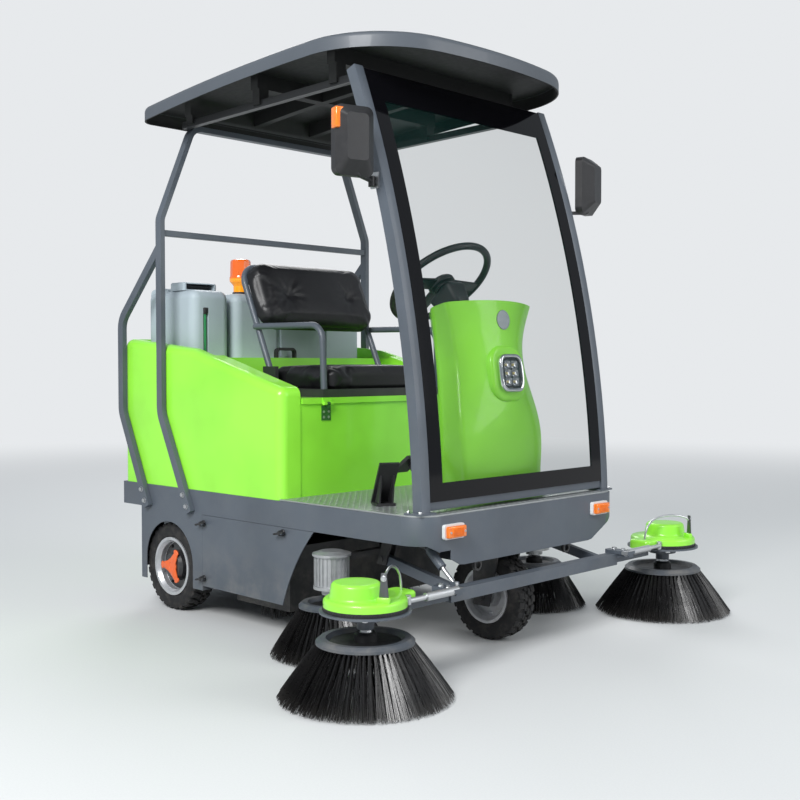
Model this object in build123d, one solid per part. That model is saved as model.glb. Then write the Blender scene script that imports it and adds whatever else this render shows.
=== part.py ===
from build123d import *
from math import cos, radians, sin, sqrt
import os

os.makedirs("parts", exist_ok=True)

# Ride-on road sweeper on three wheels, millimetres, +X forward, +Y to the driver's left, +Z up.
# All places below are measured from the rear axle's centre on the ground. The written parts are
# moved back by MID_X, so that the origin is the bottom centre of the whole machine's box.

# Overall
WHEELBASE = 1222.0
BAND_HALF = 553.0            # half the width over the grey chassis band
BAND_REAR = -318.0
BAND_FRONT = 1390.0
BAND_TOP = 497.0
BAND_BOTTOM = 405.0
SHEET = 4.0                  # folded sheet of the band and skirts
FIT = 0.3                    # clearance of parts that seat but move
BORE_FIT = 0.05              # radial clearance of a shaft in its bore

# Wheels
TYRE_R = 175.0
TYRE_W = 100.0
RIM_R = 116.0
WHEEL_FACE = 538.0           # outer face of the rear tyres
STUB_R = 15.0
FRONT_R = 160.0
FRONT_W = 96.0
FRONT_RIM_R = 100.0
TRAIL = 20.0                 # the steering axis stands this far ahead of the front axle
KINGPIN_R = 22.0

# Side brushes
FRONT_BRUSH = (1418.0, 825.0)    # x, y of the front brushes
FRONT_BRUSH_R = 265.0
FRONT_DISC_R = 147.0
MID_BRUSH = (980.0, 560.0)
MID_BRUSH_R = 212.0
MID_DISC_R = 112.0
DISC_Z = (164.0, 182.0)
TIP_Z = 3.0                  # bristle tips stand this far off the ground
CARRIER_Z = (256.0, 262.0)
CARRIER_R = 137.0
COVER_R = 125.0
COVER_DOME_R = 78.0
COVER_Z = (266.0, 300.0, 348.0)  # skirt bottom, shoulder, dome top

# Roller brush and hopper
ROLLER_X = 430.0
ROLLER_R = 132.0
ROLLER_HALF = 400.0
ROLLER_CORE_R = 50.0
HOPPER = (-300.0, 215.0, 374.0, 75.0, 394.0)    # x rear, x front, half width, z bottom, z top
HOPPER_WALL = 4.0
HANDLE = (34.0, 7.0)             # the hopper handle's reach and bar radius

# Rear body and seat box
BODY_HALF = 550.0
BODY_REAR = -316.0
POD_FRONT = 701.0
POD_INNER = 456.0
SHELL = 6.0
CREST = ((BODY_REAR, 1092.0), (150.0, 1045.0), (POD_FRONT, 895.0))   # x, z along the side's top edge
DECK_Z = 1010.0
DECK_FRONT = 190.0
DECK_HALF = 500.0
LID_Z = (838.0, 860.0)
SEATBOX_FRONT = 697.0
LID_FRONT = 704.0

# Cab frame
HOOP_X = -20.0
HOOP_DEEP = 35.0
HOOP_THICK = 22.0
CROSSBAR_Z = 1505.0
HOOP_KNEE_Z = 1560.0
HOOP_TOP_Z = 1938.0
HOOP_TOP_HALF = 410.0
POST = (1341.0, 4400.0, 2.0)     # foot x, bend radius, lean at the foot in degrees
POST_HALF = 500.0                # y of a post's centre
POST_SIZE = 40.0
POST_FOOT_Z = 505.0
POST_LEAN_TOP = 21.6
GLASS = 6.0

# Canopy
ROOF_HALF = 586.0
ROOF_REAR = -130.0
ROOF_FRONT = 1264.0
ROOF_BOW = 91.0
ROOF_CORNERS = (58.0, 342.0)     # rear, front corner radius
ROOF_RIM = ((ROOF_FRONT, 2017.0), (567.0, 2009.0), (ROOF_REAR, 1958.0))   # x, z of the rim's lower edge
ROOF_RIM_H = 55.0
ROOF_CROWN = 20.0
ROOF_SKIN = 6.0

# Front brush frame
BAR_X = 1418.0
BAR_Z = 250.0
BAR = 42.0
BAR_HALF = 470.0
ARM_Y = 400.0
ARM_PIVOT = (1075.0, 318.0)      # x, z
ARM_PIN_R = 10.0

# Controls
WHEEL_C = (970.0, 1283.0)        # x, z of the steering wheel's centre
WHEEL_TILT = 39.6
WHEEL_R = 198.0
WHEEL_TUBE = 14.0

MID_X = (FRONT_BRUSH[0] + FRONT_BRUSH_R + HOPPER[0] - HANDLE[0] - HANDLE[1]) / 2


def block(x, y, z):
    """Box between two x, two y and two z values."""
    size = (x[1] - x[0], y[1] - y[0], z[1] - z[0])
    return Pos((x[0] + x[1]) / 2, (y[0] + y[1]) / 2, (z[0] + z[1]) / 2) * Box(*size)


def rod(p, q, r):
    """Round bar between two points."""
    a, b = Vector(*p), Vector(*q)
    return Plane(origin=a, z_dir=b - a) * Cylinder(r, (b - a).length, align=(Align.CENTER, Align.CENTER, Align.MIN))


def side_plate(points, y):
    """Flat plate cut to a side-view outline of x, z points, between two y values."""
    face = make_face(Polyline(*[(px, 0, pz) for px, pz in points], close=True))
    return Pos(0, y[1], 0) * extrude(face, amount=y[1] - y[0], dir=(0, -1, 0))


def bent_tube(points, radii, size, normal):
    """Rectangular tube along straight runs and arcs; size is across the plane of bending, then in it."""
    path = FilletPolyline(*points, radius=radii)
    start = path % 0
    plane = Plane(origin=path @ 0, x_dir=normal, z_dir=start)
    return sweep(plane * Rectangle(size[0], size[1]), path=path)


def round_tube(points, radii, r):
    """Round tube along straight runs and arcs."""
    path = FilletPolyline(*points, radius=radii)
    return sweep(Plane(origin=path @ 0, z_dir=path % 0) * Circle(r), path=path)


def both(shape):
    """A shape and its mirror image across the machine's centre plane."""
    return [shape, mirror(shape, about=Plane.XZ)]


def save(name, *shapes):
    """Write one part, moved so that the machine's box stands over the origin."""
    solids = []
    for shape in shapes:
        solids += list(shape.solids())
    moved = [Pos(-MID_X, 0, 0) * solid for solid in solids]
    export_step(Compound(children=moved) if len(moved) > 1 else moved[0], f"parts/{name}.step")


def turned(profile, axis):
    """Solid of revolution of a closed outline of points in a plane through the axis."""
    return revolve(make_face(Polyline(*profile, close=True)), axis=axis)


# Wheels. Each tyre is a ring with rounded shoulders, and each rim a dished disc with a bored hub.
def tyre(x, y, half, r, bead):
    wall, tread = 0.84 * half, 0.62 * half
    section = Plane.YZ * make_face(
        Polyline((y - wall, bead), (y - half, bead + 0.35 * (r - bead)), (y - half, r - 0.32 * half),
                 (y - 0.9 * half, r - 0.12 * half), (y - tread, r), (y + tread, r), (y + 0.9 * half, r - 0.12 * half),
                 (y + half, r - 0.32 * half), (y + half, bead + 0.35 * (r - bead)), (y + wall, bead), close=True))
    return Pos(x, 0, r) * revolve(section, axis=Axis.Y)


def rim(x, y, half, r, wheel_r, holes, bore, side):
    """Dished wheel disc; the outer hub of a sided rim is a closed drum past the axle's end."""
    lip = 0.9 * r
    web = y + side * 0.1 * half
    low, high = y - half, y + half
    if side == 0:
        hub = [(web + 8, 46), (high - 4, 40), (high - 4, bore), (low + 4, bore), (low + 4, 40), (web - 8, 46)]
        profile = [(low, r), (low, lip), (low + 14, lip - 10), (web - 8, lip - 10)] + hub[::-1]
        profile += [(web + 8, lip - 10), (high - 14, lip - 10), (high, lip), (high, r)]
    else:
        out, into = y + side * half, y - side * half
        profile = [(into, r), (into, lip), (into + side * 14, lip - 10), (web - side * 8, lip - 10),
                   (web - side * 8, 50), (into + side * 4, 44), (into + side * 4, bore), (out - side * 9, bore),
                   (out - side * 9, 0), (out - side * 4, 0), (out - side * 4, 48), (out - side * 14, 60),
                   (web + side * 8, 62), (web + side * 8, lip - 10), (out - side * 14, lip - 10), (out, lip), (out, r)]
    body = revolve(Plane.YZ * make_face(Polyline(*profile, close=True)), axis=Axis.Y)
    for k in range(holes):
        a = radians(360 / holes * (k + 0.5))
        body -= Pos(0.78 * lip * sin(a), web, 0.78 * lip * cos(a)) * Rot(90, 0, 0) * Cylinder(7, 60)
    return Pos(x, 0, wheel_r) * body


rear_y = WHEEL_FACE - TYRE_W / 2
for side, name in ((1, "left"), (-1, "right")):
    save(f"rear_tyre_{name}", tyre(0, side * rear_y, TYRE_W / 2, TYRE_R, RIM_R))
    save(f"rear_rim_{name}", rim(0, side * rear_y, TYRE_W / 2 - 2, RIM_R, TYRE_R, 6, STUB_R + BORE_FIT, side))
save("front_tyre", tyre(WHEELBASE, 0, FRONT_W / 2, FRONT_R, FRONT_RIM_R))
save("front_rim", rim(WHEELBASE, 0, FRONT_W / 2 - 2, FRONT_RIM_R, FRONT_R, 5, STUB_R + BORE_FIT, 0))

# Steering fork: kingpin, crown plate and two cheeks that hold the front axle.
CHEEK = 8.0
CHEEK_Y = FRONT_W / 2 + 9.0
steer_x = WHEELBASE + TRAIL
fork_top = 2 * FRONT_R + 24.0
cheek = side_plate([(WHEELBASE - 34, FRONT_R - 34), (WHEELBASE + 34, FRONT_R - 34), (steer_x + 62, fork_top),
                    (steer_x - 62, fork_top)], (CHEEK_Y, CHEEK_Y + CHEEK))
fork = block((steer_x - 62, steer_x + 62), (-CHEEK_Y - CHEEK, CHEEK_Y + CHEEK), (fork_top, fork_top + 14))
fork += both(cheek)
fork += Pos(steer_x, 0, fork_top + 14) * Cylinder(62, 22, align=(Align.CENTER, Align.CENTER, Align.MIN))
fork += Pos(steer_x, 0, fork_top + 14) * Cylinder(KINGPIN_R, 130, align=(Align.CENTER, Align.CENTER, Align.MIN))
fork += rod((WHEELBASE, -CHEEK_Y - CHEEK - 14, FRONT_R), (WHEELBASE, CHEEK_Y + CHEEK + 14, FRONT_R), STUB_R)
save("steering_fork", fork)

# Chassis frame: two rails, cross members, the steering head, the rear side plates with the stub
# axles and the runners that carry the hopper.
RAIL_Y = 300.0
RAIL = (40.0, 56.0)
CROSS_X = (-290.0, 250.0, 672.0, 900.0, 1130.0, 1345.0)
frame_z = (BAND_TOP - RAIL[1], BAND_TOP)
frame = block((BAND_REAR + SHEET, 1365), (RAIL_Y - RAIL[0] / 2, RAIL_Y + RAIL[0] / 2), frame_z)
frame += mirror(frame, about=Plane.XZ)
for x in CROSS_X:
    reach = BAND_HALF - SHEET if x < 1300 else 420.0
    frame += block((x - 20, x + 20), (-reach, reach), (BAND_TOP - 40, BAND_TOP))
head_z = fork_top + 36.0 + FIT
head = Pos(steer_x, 0, head_z) * Cylinder(58, BAND_TOP - head_z, align=(Align.CENTER, Align.CENTER, Align.MIN))
frame += head + block((1130, 1345), (-150, 150), (BAND_TOP - 12, BAND_TOP))
frame -= Pos(steer_x, 0, 400) * Cylinder(KINGPIN_R + BORE_FIT, 300)
PLATE_Y = (398.0, 408.0)
RUNNER_Z = 352.0
plate = side_plate([(-290, BAND_TOP), (-290, 340), (-70, 340), (-38, 140), (38, 140), (70, 340), (250, 340),
                    (250, BAND_TOP)], PLATE_Y)
plate += block((-290, 250), (380, PLATE_Y[0]), (RUNNER_Z - 6, RUNNER_Z))
plate += rod((0, PLATE_Y[0], TYRE_R), (0, WHEEL_FACE - 14, TYRE_R), STUB_R)
plate += rod((0, PLATE_Y[1], TYRE_R), (0, rear_y - TYRE_W / 2 + 2 + 4 - FIT, TYRE_R), 30)
frame += both(plate)
for x in (ARM_PIVOT[0],):
    for y in (-ARM_Y, ARM_Y):
        for dy in (-16.0, 16.0):
            ear = side_plate([(x - 22, ARM_PIVOT[1] - 18), (x + 22, ARM_PIVOT[1] - 18), (x + 75, BAND_TOP - 40),
                              (x + 35, BAND_TOP - 40)], (y + dy - 3, y + dy + 3))
            frame += ear
        frame += rod((x, y - 22, ARM_PIVOT[1]), (x, y + 22, ARM_PIVOT[1]), ARM_PIN_R)
frame += block((1100, 1155), (-425, 425), (BAND_TOP - 44, BAND_TOP - 36))
for side in (-1, 1):
    for dx in (-23.0, 23.0):
        frame += block((MID_BRUSH[0] + dx - 5, MID_BRUSH[0] + dx + 5), (side * 300 - 16, side * 300 + 16), (312, BAND_TOP - 40))
    frame += rod((MID_BRUSH[0] - 26, side * 300, 330), (MID_BRUSH[0] + 26, side * 300, 330), 8)
frame += block((1280, 1365), (-462, -400), (BAND_TOP - 40, BAND_TOP - 30))
for dy in (-9.5, 9.5):
    frame += block((1288, 1312), (-440 + dy - 2.5, -440 + dy + 2.5), (384, BAND_TOP - 30))
frame += rod((1300, -452, 396), (1300, -428, 396), 5)
TIE_EYE_R = 12.0
TIE_EYES = ((-304.0, 450.0, 385.0), (1359.0, 250.0, 312.0))    # x, y, z of the eyes under the end cross members
for x, y, z in TIE_EYES:
    lug = block((x - 6, x + 6), (y - 19, y + 19), (z, BAND_TOP - 40)) + rod((x - 6, y, z), (x + 6, y, z), 19)
    lug -= rod((x - 20, y, z), (x + 20, y, z), TIE_EYE_R)
    frame += both(lug)
save("chassis_frame", frame)

# Grey skirt: a folded band round the deck with rounded front corners, the deeper apron in front
# and the rear skirts with the wheel arches.
BAND_CORNER = 90.0
APRON = (350.0, 515.0, 330.0)    # half width of the deep part, half width at the band, lower edge
SKIRT = (-186.0, 233.0, 111.0)   # x rear, x front, lower edge
ARCH = (10.0, 160.0, 197.0)      # x centre, half width, springing height


def band_block(inset, z):
    """Upright block to the band's outline, drawn in by an inset."""
    blank = block((BAND_REAR + inset, BAND_FRONT - inset), (-BAND_HALF + inset, BAND_HALF - inset), z)
    corners = blank.edges().filter_by(Axis.Z).sort_by(Axis.X)[-2:]
    return fillet(corners, BAND_CORNER - inset)


skirt = band_block(0, (BAND_BOTTOM, BAND_TOP)) - band_block(SHEET, (BAND_BOTTOM - 1, BAND_TOP + 1))
apron_face = make_face(Polyline((-APRON[1], BAND_BOTTOM + 1), (-APRON[0] - 22, APRON[2] + 3),
                                (-APRON[0], APRON[2]), (APRON[0], APRON[2]),
                                (APRON[0] + 22, APRON[2] + 3), (APRON[1], BAND_BOTTOM + 1), close=True))
apron = extrude(Plane.YZ * apron_face, amount=BAND_FRONT + 10)
apron &= band_block(0, (300, 440)) - band_block(SHEET, (299, 441))
apron -= block((BAND_FRONT - 20, BAND_FRONT + 5), (-466, -414), (300, 384))
skirt += apron & block((1200, BAND_FRONT + 5), (-600, 600), (300, BAND_BOTTOM + 1))
rear_skirt = block((SKIRT[0], SKIRT[1]), (-BAND_HALF, -BAND_HALF + SHEET), (SKIRT[2], BAND_BOTTOM + 1))
opening = block((ARCH[0] - ARCH[1], ARCH[0] + ARCH[1]), (-600, -500), (0, ARCH[2]))
opening += Pos(ARCH[0], -550, ARCH[2]) * Rot(90, 0, 0) * Cylinder(ARCH[1], 100)
rear_skirt -= opening
rear_skirt += block((SKIRT[1] - SHEET, SKIRT[1]), (-BAND_HALF + SHEET, -PLATE_Y[1]), (SKIRT[2], 348))
for s in both(rear_skirt):
    skirt += s
REAR_BOLTS = (60.0, 22.5, 452.5, 5.5)    # half spacing across and up, centre height, hole radius
for y in (-REAR_BOLTS[0], REAR_BOLTS[0]):
    for z in (REAR_BOLTS[2] - REAR_BOLTS[1], REAR_BOLTS[2] + REAR_BOLTS[1]):
        skirt -= rod((BAND_REAR - 5, y, z), (BAND_REAR + SHEET + 1, y, z), REAR_BOLTS[3])
save("chassis_skirt", skirt)

# Lift-off side panels between the rear skirts and the middle brushes.
PANEL = (SKIRT[1] + 1.0, 713.0, 879.0, 130.0)    # x rear, x at the lower corner, x at the top corner, z low
panel_edge = [Line((PANEL[0], 0, PANEL[3]), (PANEL[1], 0, PANEL[3] - 4)),
              ThreePointArc((PANEL[1], 0, PANEL[3] - 4), (770, 0, 255), (PANEL[2], 0, BAND_BOTTOM - 1)),
              Line((PANEL[2], 0, BAND_BOTTOM - 1), (PANEL[0], 0, BAND_BOTTOM - 1)),
              Line((PANEL[0], 0, BAND_BOTTOM - 1), (PANEL[0], 0, PANEL[3]))]
panel = Pos(0, -BAND_HALF + SHEET, 0) * extrude(make_face(Wire(panel_edge)), amount=SHEET, dir=(0, -1, 0))
panel += block((PANEL[0] + 20, 850), (-BAND_HALF + SHEET, -BAND_HALF + SHEET + 10), (BAND_BOTTOM - 14, BAND_BOTTOM + 20))
KNOBS = ((PANEL[0] + 10, 372.0), (PANEL[0] + 10, 160.0), (716.0, 385.0))
for kx, kz in KNOBS:
    panel += rod((kx, -BAND_HALF - 14, kz), (kx, -BAND_HALF, kz), 9)
    panel += block((kx - 16, kx + 16), (-BAND_HALF - 20, -BAND_HALF - 8), (kz - 4, kz + 4))
for shape, name in zip(both(panel), ("right", "left")):
    save(f"side_panel_{name}", shape)

# Checkered floor plate of the driver's place.
floor = band_block(5, (BAND_TOP, BAND_TOP + 5)) - block((-400, POD_FRONT - 6), (-600, 600), (400, 600))
save("floor_plate", floor)
FLOOR_TOP = BAND_TOP + 5.0

# Moulded rear body: two pods beside the seat and the deck under the tanks, one open-bottomed shell.
POD_R = 34.0


def body_profile(inset):
    (x0, z0), (x1, z1), (x2, z2) = CREST
    points = [(x0 + inset, BAND_TOP - 20), (x0 + inset, z0 - inset), (x1, z1 - inset), (x2 - inset, z2 - inset),
              (x2 - inset, BAND_TOP - 20)]
    half = BODY_HALF - inset
    solid = side_plate(points, (-half, half))
    long_edges = [e for e in solid.edges() if e.center().Z > 600 and abs(e.center().Y) > half - 1]
    ends = [e for e in solid.edges().filter_by(Axis.Y) if e.center().Z > 850 and not x1 - 5 < e.center().X < x1 + 5]
    uprights = solid.edges().filter_by(Axis.Z)
    return fillet(list(set(long_edges + ends + list(uprights))), POD_R - inset)


body = body_profile(0)
body -= block((BODY_REAR + 40, DECK_FRONT + 60), (-DECK_HALF, DECK_HALF), (DECK_Z, 1200))
body -= block((DECK_FRONT, 900), (-POD_INNER, POD_INNER), (400, 1200))
inner = body_profile(SHELL)
inner -= block((BODY_REAR + 40 - SHELL, DECK_FRONT + 60), (-DECK_HALF - SHELL, DECK_HALF + SHELL), (DECK_Z - SHELL, 1300))
inner -= block((DECK_FRONT - SHELL, 900), (-POD_INNER - SHELL, POD_INNER + SHELL), (400, 1300))
body -= inner
body -= block((BODY_REAR - 10, 900), (-600, 600), (400, BAND_TOP))
body -= block((POD_FRONT - 6 - SHELL - 1, 900), (-600, 600), (400, FLOOR_TOP))
save("rear_body", body)

# Seat box between the pods: front wall, side returns and the battery behind it.
BOX_GAP = 1.0
box_half = POD_INNER - BOX_GAP
seatbox = block((SEATBOX_FRONT - SHELL, SEATBOX_FRONT), (-box_half, box_half), (FLOOR_TOP, LID_Z[0] - BOX_GAP))
seatbox += both(block((DECK_FRONT + BOX_GAP, SEATBOX_FRONT), (box_half - SHELL, box_half), (FLOOR_TOP, LID_Z[0] - BOX_GAP)))
seatbox += both(block((DECK_FRONT + BOX_GAP, SEATBOX_FRONT), (box_half - 30, box_half), (LID_Z[0] - BOX_GAP - SHELL, LID_Z[0] - BOX_GAP)))
save("seat_box", seatbox)
BATTERY = ((300.0, 640.0), (-310.0, 310.0), (BAND_TOP, 770.0))
save("battery_pack", block(*BATTERY))

# Seat lid with the hinge leaves, which tips forward about its front edge.
LID_PIN = (711.0, 838.0)
MOVE_GAP = 6.0                # kept between a moving part and what it passes
lid_half = POD_INNER - MOVE_GAP
lid = block((DECK_FRONT + MOVE_GAP, LID_FRONT), (-lid_half, lid_half), LID_Z)
lid -= block((DECK_FRONT + MOVE_GAP + SHELL, LID_FRONT - SHELL), (-lid_half + SHELL, lid_half - SHELL), (LID_Z[0] - 1, LID_Z[1] - SHELL))
HINGE_Y = (-330.0, 330.0)
for y in HINGE_Y:
    lid += block((LID_FRONT - 1, LID_FRONT + 3), (y - 22, y + 22), (LID_PIN[1] + 8, LID_Z[1] - 1))
    lid += rod((LID_PIN[0], y - 22, LID_PIN[1]), (LID_PIN[0], y - 8, LID_PIN[1]), 5)
    lid += rod((LID_PIN[0], y + 8, LID_PIN[1]), (LID_PIN[0], y + 22, LID_PIN[1]), 5)
    lid += block((LID_FRONT - 1, LID_PIN[0] + 4), (y - 22, y - 8), (LID_PIN[1] - 4, LID_PIN[1] + 8))
    lid += block((LID_FRONT - 1, LID_PIN[0] + 4), (y + 8, y + 22), (LID_PIN[1] - 4, LID_PIN[1] + 8))
save("seat_lid", lid)
leaves = []
for y in HINGE_Y:
    leaf = block((SEATBOX_FRONT, SEATBOX_FRONT + 3), (y - 22, y + 22), (LID_PIN[1] - 62, LID_PIN[1] - 8))
    leaf += block((SEATBOX_FRONT, LID_PIN[0] + 5), (y - 7, y + 7), (LID_PIN[1] - 14, LID_PIN[1] - 7))
    leaf += rod((LID_PIN[0], y - 7, LID_PIN[1]), (LID_PIN[0], y + 7, LID_PIN[1]), 6.5)
    leaves.append(leaf)
save("lid_hinges", *leaves)

# Seat: pan, tubular back frame with the arm rests, and the two cushions.
SEAT_HALF = 300.0
SEAT_TUBE = 12.5
SEAT_Y = 302.0
BACK_FOOT = (368.6, 905.0)
BACK_LEAN = 24.6
ARM_Z = 1133.0
SEAT_EAR = ((316, 392), (SEAT_Y, SEAT_Y + 16), (LID_Z[1], 975))      # ear of the pan that holds a back tube's foot
PAN = ((262.0, 690.0), (-335.0, 335.0), (LID_Z[1], LID_Z[1] + 30))
pan = block(*PAN) - block((282, 670), (-315, 315), (LID_Z[1] - 1, LID_Z[1] + 26))
pan += both(block(*SEAT_EAR))
save("seat_pan", pan)


def back_x(z):
    return BACK_FOOT[0] - (z - BACK_FOOT[1]) * sin(radians(BACK_LEAN)) / cos(radians(BACK_LEAN))


BACK_TOP = 1377.0
seat_frame = round_tube([(back_x(LID_Z[1] + 30 + 6) , -SEAT_Y, LID_Z[1] + 36), (back_x(BACK_TOP), -SEAT_Y, BACK_TOP),
                         (back_x(BACK_TOP), SEAT_Y, BACK_TOP), (back_x(LID_Z[1] + 36), SEAT_Y, LID_Z[1] + 36)], 80, SEAT_TUBE)
arm = round_tube([(back_x(ARM_Z), -SEAT_Y - 12, ARM_Z), (660, -SEAT_Y - 12, ARM_Z - 4),
                  (670, -SEAT_Y - 12, LID_Z[1] + 30)], 60, SEAT_TUBE)
for s in both(arm):
    seat_frame += s
seat_frame -= block(*PAN)
for s in both(block(*SEAT_EAR)):
    seat_frame -= s
for z in (BACK_TOP - 60, BACK_TOP - 190):
    slat = block((-3, SEAT_TUBE), (-SEAT_Y, SEAT_Y), (-14, 14))
    seat_frame += Pos(back_x(z), 0, z) * Rot(0, -BACK_LEAN, 0) * slat
save("seat_frame", seat_frame)
cushion_z = (PAN[2][1] + FIT, PAN[2][1] + 72)
cushion = fillet(block((300, 690), (-SEAT_HALF, SEAT_HALF), cushion_z).edges().filter_by(Axis.Z), 45)
cushion = fillet(cushion.faces().sort_by(Axis.Z)[-1].edges(), 22)
for s in both(block((290, 405), (SEAT_Y - SEAT_TUBE - 5, SEAT_HALF + 5), (cushion_z[0] - 1, cushion_z[1] + 1))):
    cushion -= s
save("seat_cushion", cushion)
BACK_H = 290.0
back_mid = BACK_TOP + 4 - BACK_H / 2 * cos(radians(BACK_LEAN))
back_plane = Plane(origin=(back_x(back_mid) + (SEAT_TUBE + FIT) / cos(radians(BACK_LEAN)), 0, back_mid), x_dir=(0, 1, 0),
                   z_dir=(cos(radians(BACK_LEAN)), 0, sin(radians(BACK_LEAN))))
back = extrude(back_plane * RectangleRounded(2 * SEAT_HALF + 4, BACK_H, 75), amount=66)
save("seat_back", fillet(back.faces().sort_by(Axis((0, 0, 0), back_plane.z_dir))[-1].edges(), 36))

# Water tanks on the deck, with the filter hood on the right one, and the beacon.
TANK_X = (-272.0, 55.0)
TANK_TOP = 1284.0
SPLIT_Y = (-278.0, -252.0)
tank_r = block(TANK_X, (-462, SPLIT_Y[0]), (DECK_Z, TANK_TOP))
tank_r = fillet([e for e in tank_r.edges() if e.center().Z > DECK_Z + 5], 36)
rear_step = block((TANK_X[0], -150), (-452, SPLIT_Y[0] - 12), (DECK_Z + 40, TANK_TOP + 14))
tank_r += fillet([e for e in rear_step.edges() if e.center().Z > TANK_TOP + 5 or abs(e.tangent_at(0.5).Z) > 0.9], 22)
GAUGE = (-400.0, 26.0, (1024.0, 1212.0), 20.0)     # y, width, z range and depth of the level gauge's channel
channel = block((TANK_X[1] - GAUGE[3], TANK_X[1] + 5), (GAUGE[0] - GAUGE[1] / 2, GAUGE[0] + GAUGE[1] / 2), GAUGE[2])
tank_r -= channel
tank_l = block(TANK_X, (SPLIT_Y[1], 462), (DECK_Z, TANK_TOP - 6))
tank_l = fillet([e for e in tank_l.edges() if e.center().Z > DECK_Z + 5], 36)
for y in (-20.0, 240.0):
    groove = block((TANK_X[1] - 9, TANK_X[1] + 5), (y - 14, y + 14), (DECK_Z + 10, TANK_TOP + 5))
    tank_l -= groove
save("water_tanks", tank_r, tank_l)
HOOD = ((-128.0, -30.0), (-446.0, -216.0), 34.0)     # x, y ranges and height of the filler's hood
hood = block(HOOD[0], (HOOD[1][0], SPLIT_Y[0] - 4), (TANK_TOP, TANK_TOP + HOOD[2]))
hood = fillet(hood.edges().filter_by(Axis.Z) + hood.faces().sort_by(Axis.Z)[-1].edges(), 9)
hood -= block((HOOD[0][0] + 12, HOOD[0][1] + 5), (HOOD[1][0] + 12, SPLIT_Y[0] - 16), (TANK_TOP + 5, TANK_TOP + HOOD[2] - 6))
save("filter_hood", hood)
BEACON = (100.0, -262.0)
beacon_x = -40.0
BEACON_LENS = ((0, -6), (36, -6), (36, 4), (31, 8), (31, 30), (46, 48), (47, 66), (44.5, 74), (42.5, 136), (37, 143), (0, 144))
beacon = revolve(Plane.XZ * make_face(Polyline(*BEACON_LENS, close=True)), axis=Axis.Z)      # radius and height
save("beacon", Pos(beacon_x, -150, TANK_TOP) * beacon)
handle = bent_tube([(85, -60, DECK_Z), (85, -60, DECK_Z + 38), (85, 40, DECK_Z + 38), (85, 40, DECK_Z)], 16, (20, 12), (1, 0, 0))
save("deck_handle", handle)

# Roll hoop: flat-sided tube bent up each side, leaning in above the knee, with its crossbar and
# the outer guard rails behind it.
hoop_y = BAND_HALF + HOOP_THICK / 2
FOOT = (172.0, 408.0)
hoop_parts = [bent_tube([(HOOP_X, -hoop_y, 1200), (HOOP_X, -hoop_y, HOOP_KNEE_Z), (HOOP_X, -HOOP_TOP_HALF, HOOP_TOP_Z),
                         (HOOP_X, HOOP_TOP_HALF, HOOP_TOP_Z), (HOOP_X, hoop_y, HOOP_KNEE_Z), (HOOP_X, hoop_y, 1200)],
                        [60, 60, 60, 60], (HOOP_DEEP, HOOP_THICK), (1, 0, 0))]
GUARD_X = -302.0
legs = bent_tube([(FOOT[0], -hoop_y, FOOT[1]), (HOOP_X, -hoop_y, 790), (HOOP_X, -hoop_y, 1200)], 120,
                 (HOOP_THICK, HOOP_DEEP), (0, 1, 0))
guard = bent_tube([(-118, -hoop_y, FOOT[1]), (GUARD_X, -hoop_y, 790), (GUARD_X, -hoop_y, 1165), (HOOP_X, -hoop_y, 1448)],
                  90, (HOOP_THICK, HOOP_DEEP), (0, 1, 0))
guard -= block((HOOP_X - HOOP_DEEP / 2 + 0.0, 200), (-700, -500), (1300, 1600))
for s in both(legs) + both(guard):
    hoop_parts.append(s)
crossbar = block((HOOP_X - 12, HOOP_X + 12), (-BAND_HALF, BAND_HALF), (CROSSBAR_Z - 12, CROSSBAR_Z + 12))
hoop = hoop_parts[0]
for s in hoop_parts[1:] + [crossbar]:
    hoop += s
save("roll_hoop", hoop)

# Windscreen frame: two curved posts and their rails, and the curved glass between them.
foot_x, bend_r, lean = POST


def post_at(angle, offset):
    """x, z of a point of the post's curve at a lean angle, moved forward by an offset."""
    a, a0 = radians(angle), radians(lean)
    return (foot_x - bend_r * (cos(a0) - cos(a)) + offset * cos(a), POST_FOOT_Z + bend_r * (sin(a) - sin(a0)) + offset * sin(a))


def curved_strip(y, back, front, low, high):
    """Part of the curved screen between two y values, two offsets and two lean angles."""
    mid = (low + high) / 2
    inner = [post_at(a, back) for a in (low, mid, high)]
    outer = [post_at(a, front) for a in (low, mid, high)]
    edge = [ThreePointArc(*[(px, 0, pz) for px, pz in inner]), Line((inner[2][0], 0, inner[2][1]), (outer[2][0], 0, outer[2][1])),
            ThreePointArc(*[(px, 0, pz) for px, pz in outer[::-1]]), Line((outer[0][0], 0, outer[0][1]), (inner[0][0], 0, inner[0][1]))]
    return Pos(0, y[1], 0) * extrude(make_face(Wire(edge)), amount=y[1] - y[0], dir=(0, -1, 0))


h = POST_SIZE / 2
screen = curved_strip((POST_HALF - h, POST_HALF + h), -h, h, lean, POST_LEAN_TOP)
screen += mirror(screen, about=Plane.XZ)
screen += curved_strip((-POST_HALF, POST_HALF), -h, h - GLASS - FIT, lean + 0.1, lean + 0.6)
screen += curved_strip((-POST_HALF, POST_HALF), -h, h - GLASS - FIT, POST_LEAN_TOP - 0.8, POST_LEAN_TOP)
for y in (-POST_HALF, POST_HALF):
    screen += block((foot_x - 45, foot_x + 30), (y - 36, y + 36), (FLOOR_TOP, POST_FOOT_Z + 3))
RAIL_HALF = 455.0
RAIL_SIZE = 26.0
top_x, top_z = post_at(POST_LEAN_TOP, 0)
rail_start = (HOOP_X + HOOP_DEEP / 2, HOOP_TOP_Z)
rail_run = (top_x - 8 - rail_start[0], top_z - 16 - rail_start[1])


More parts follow.
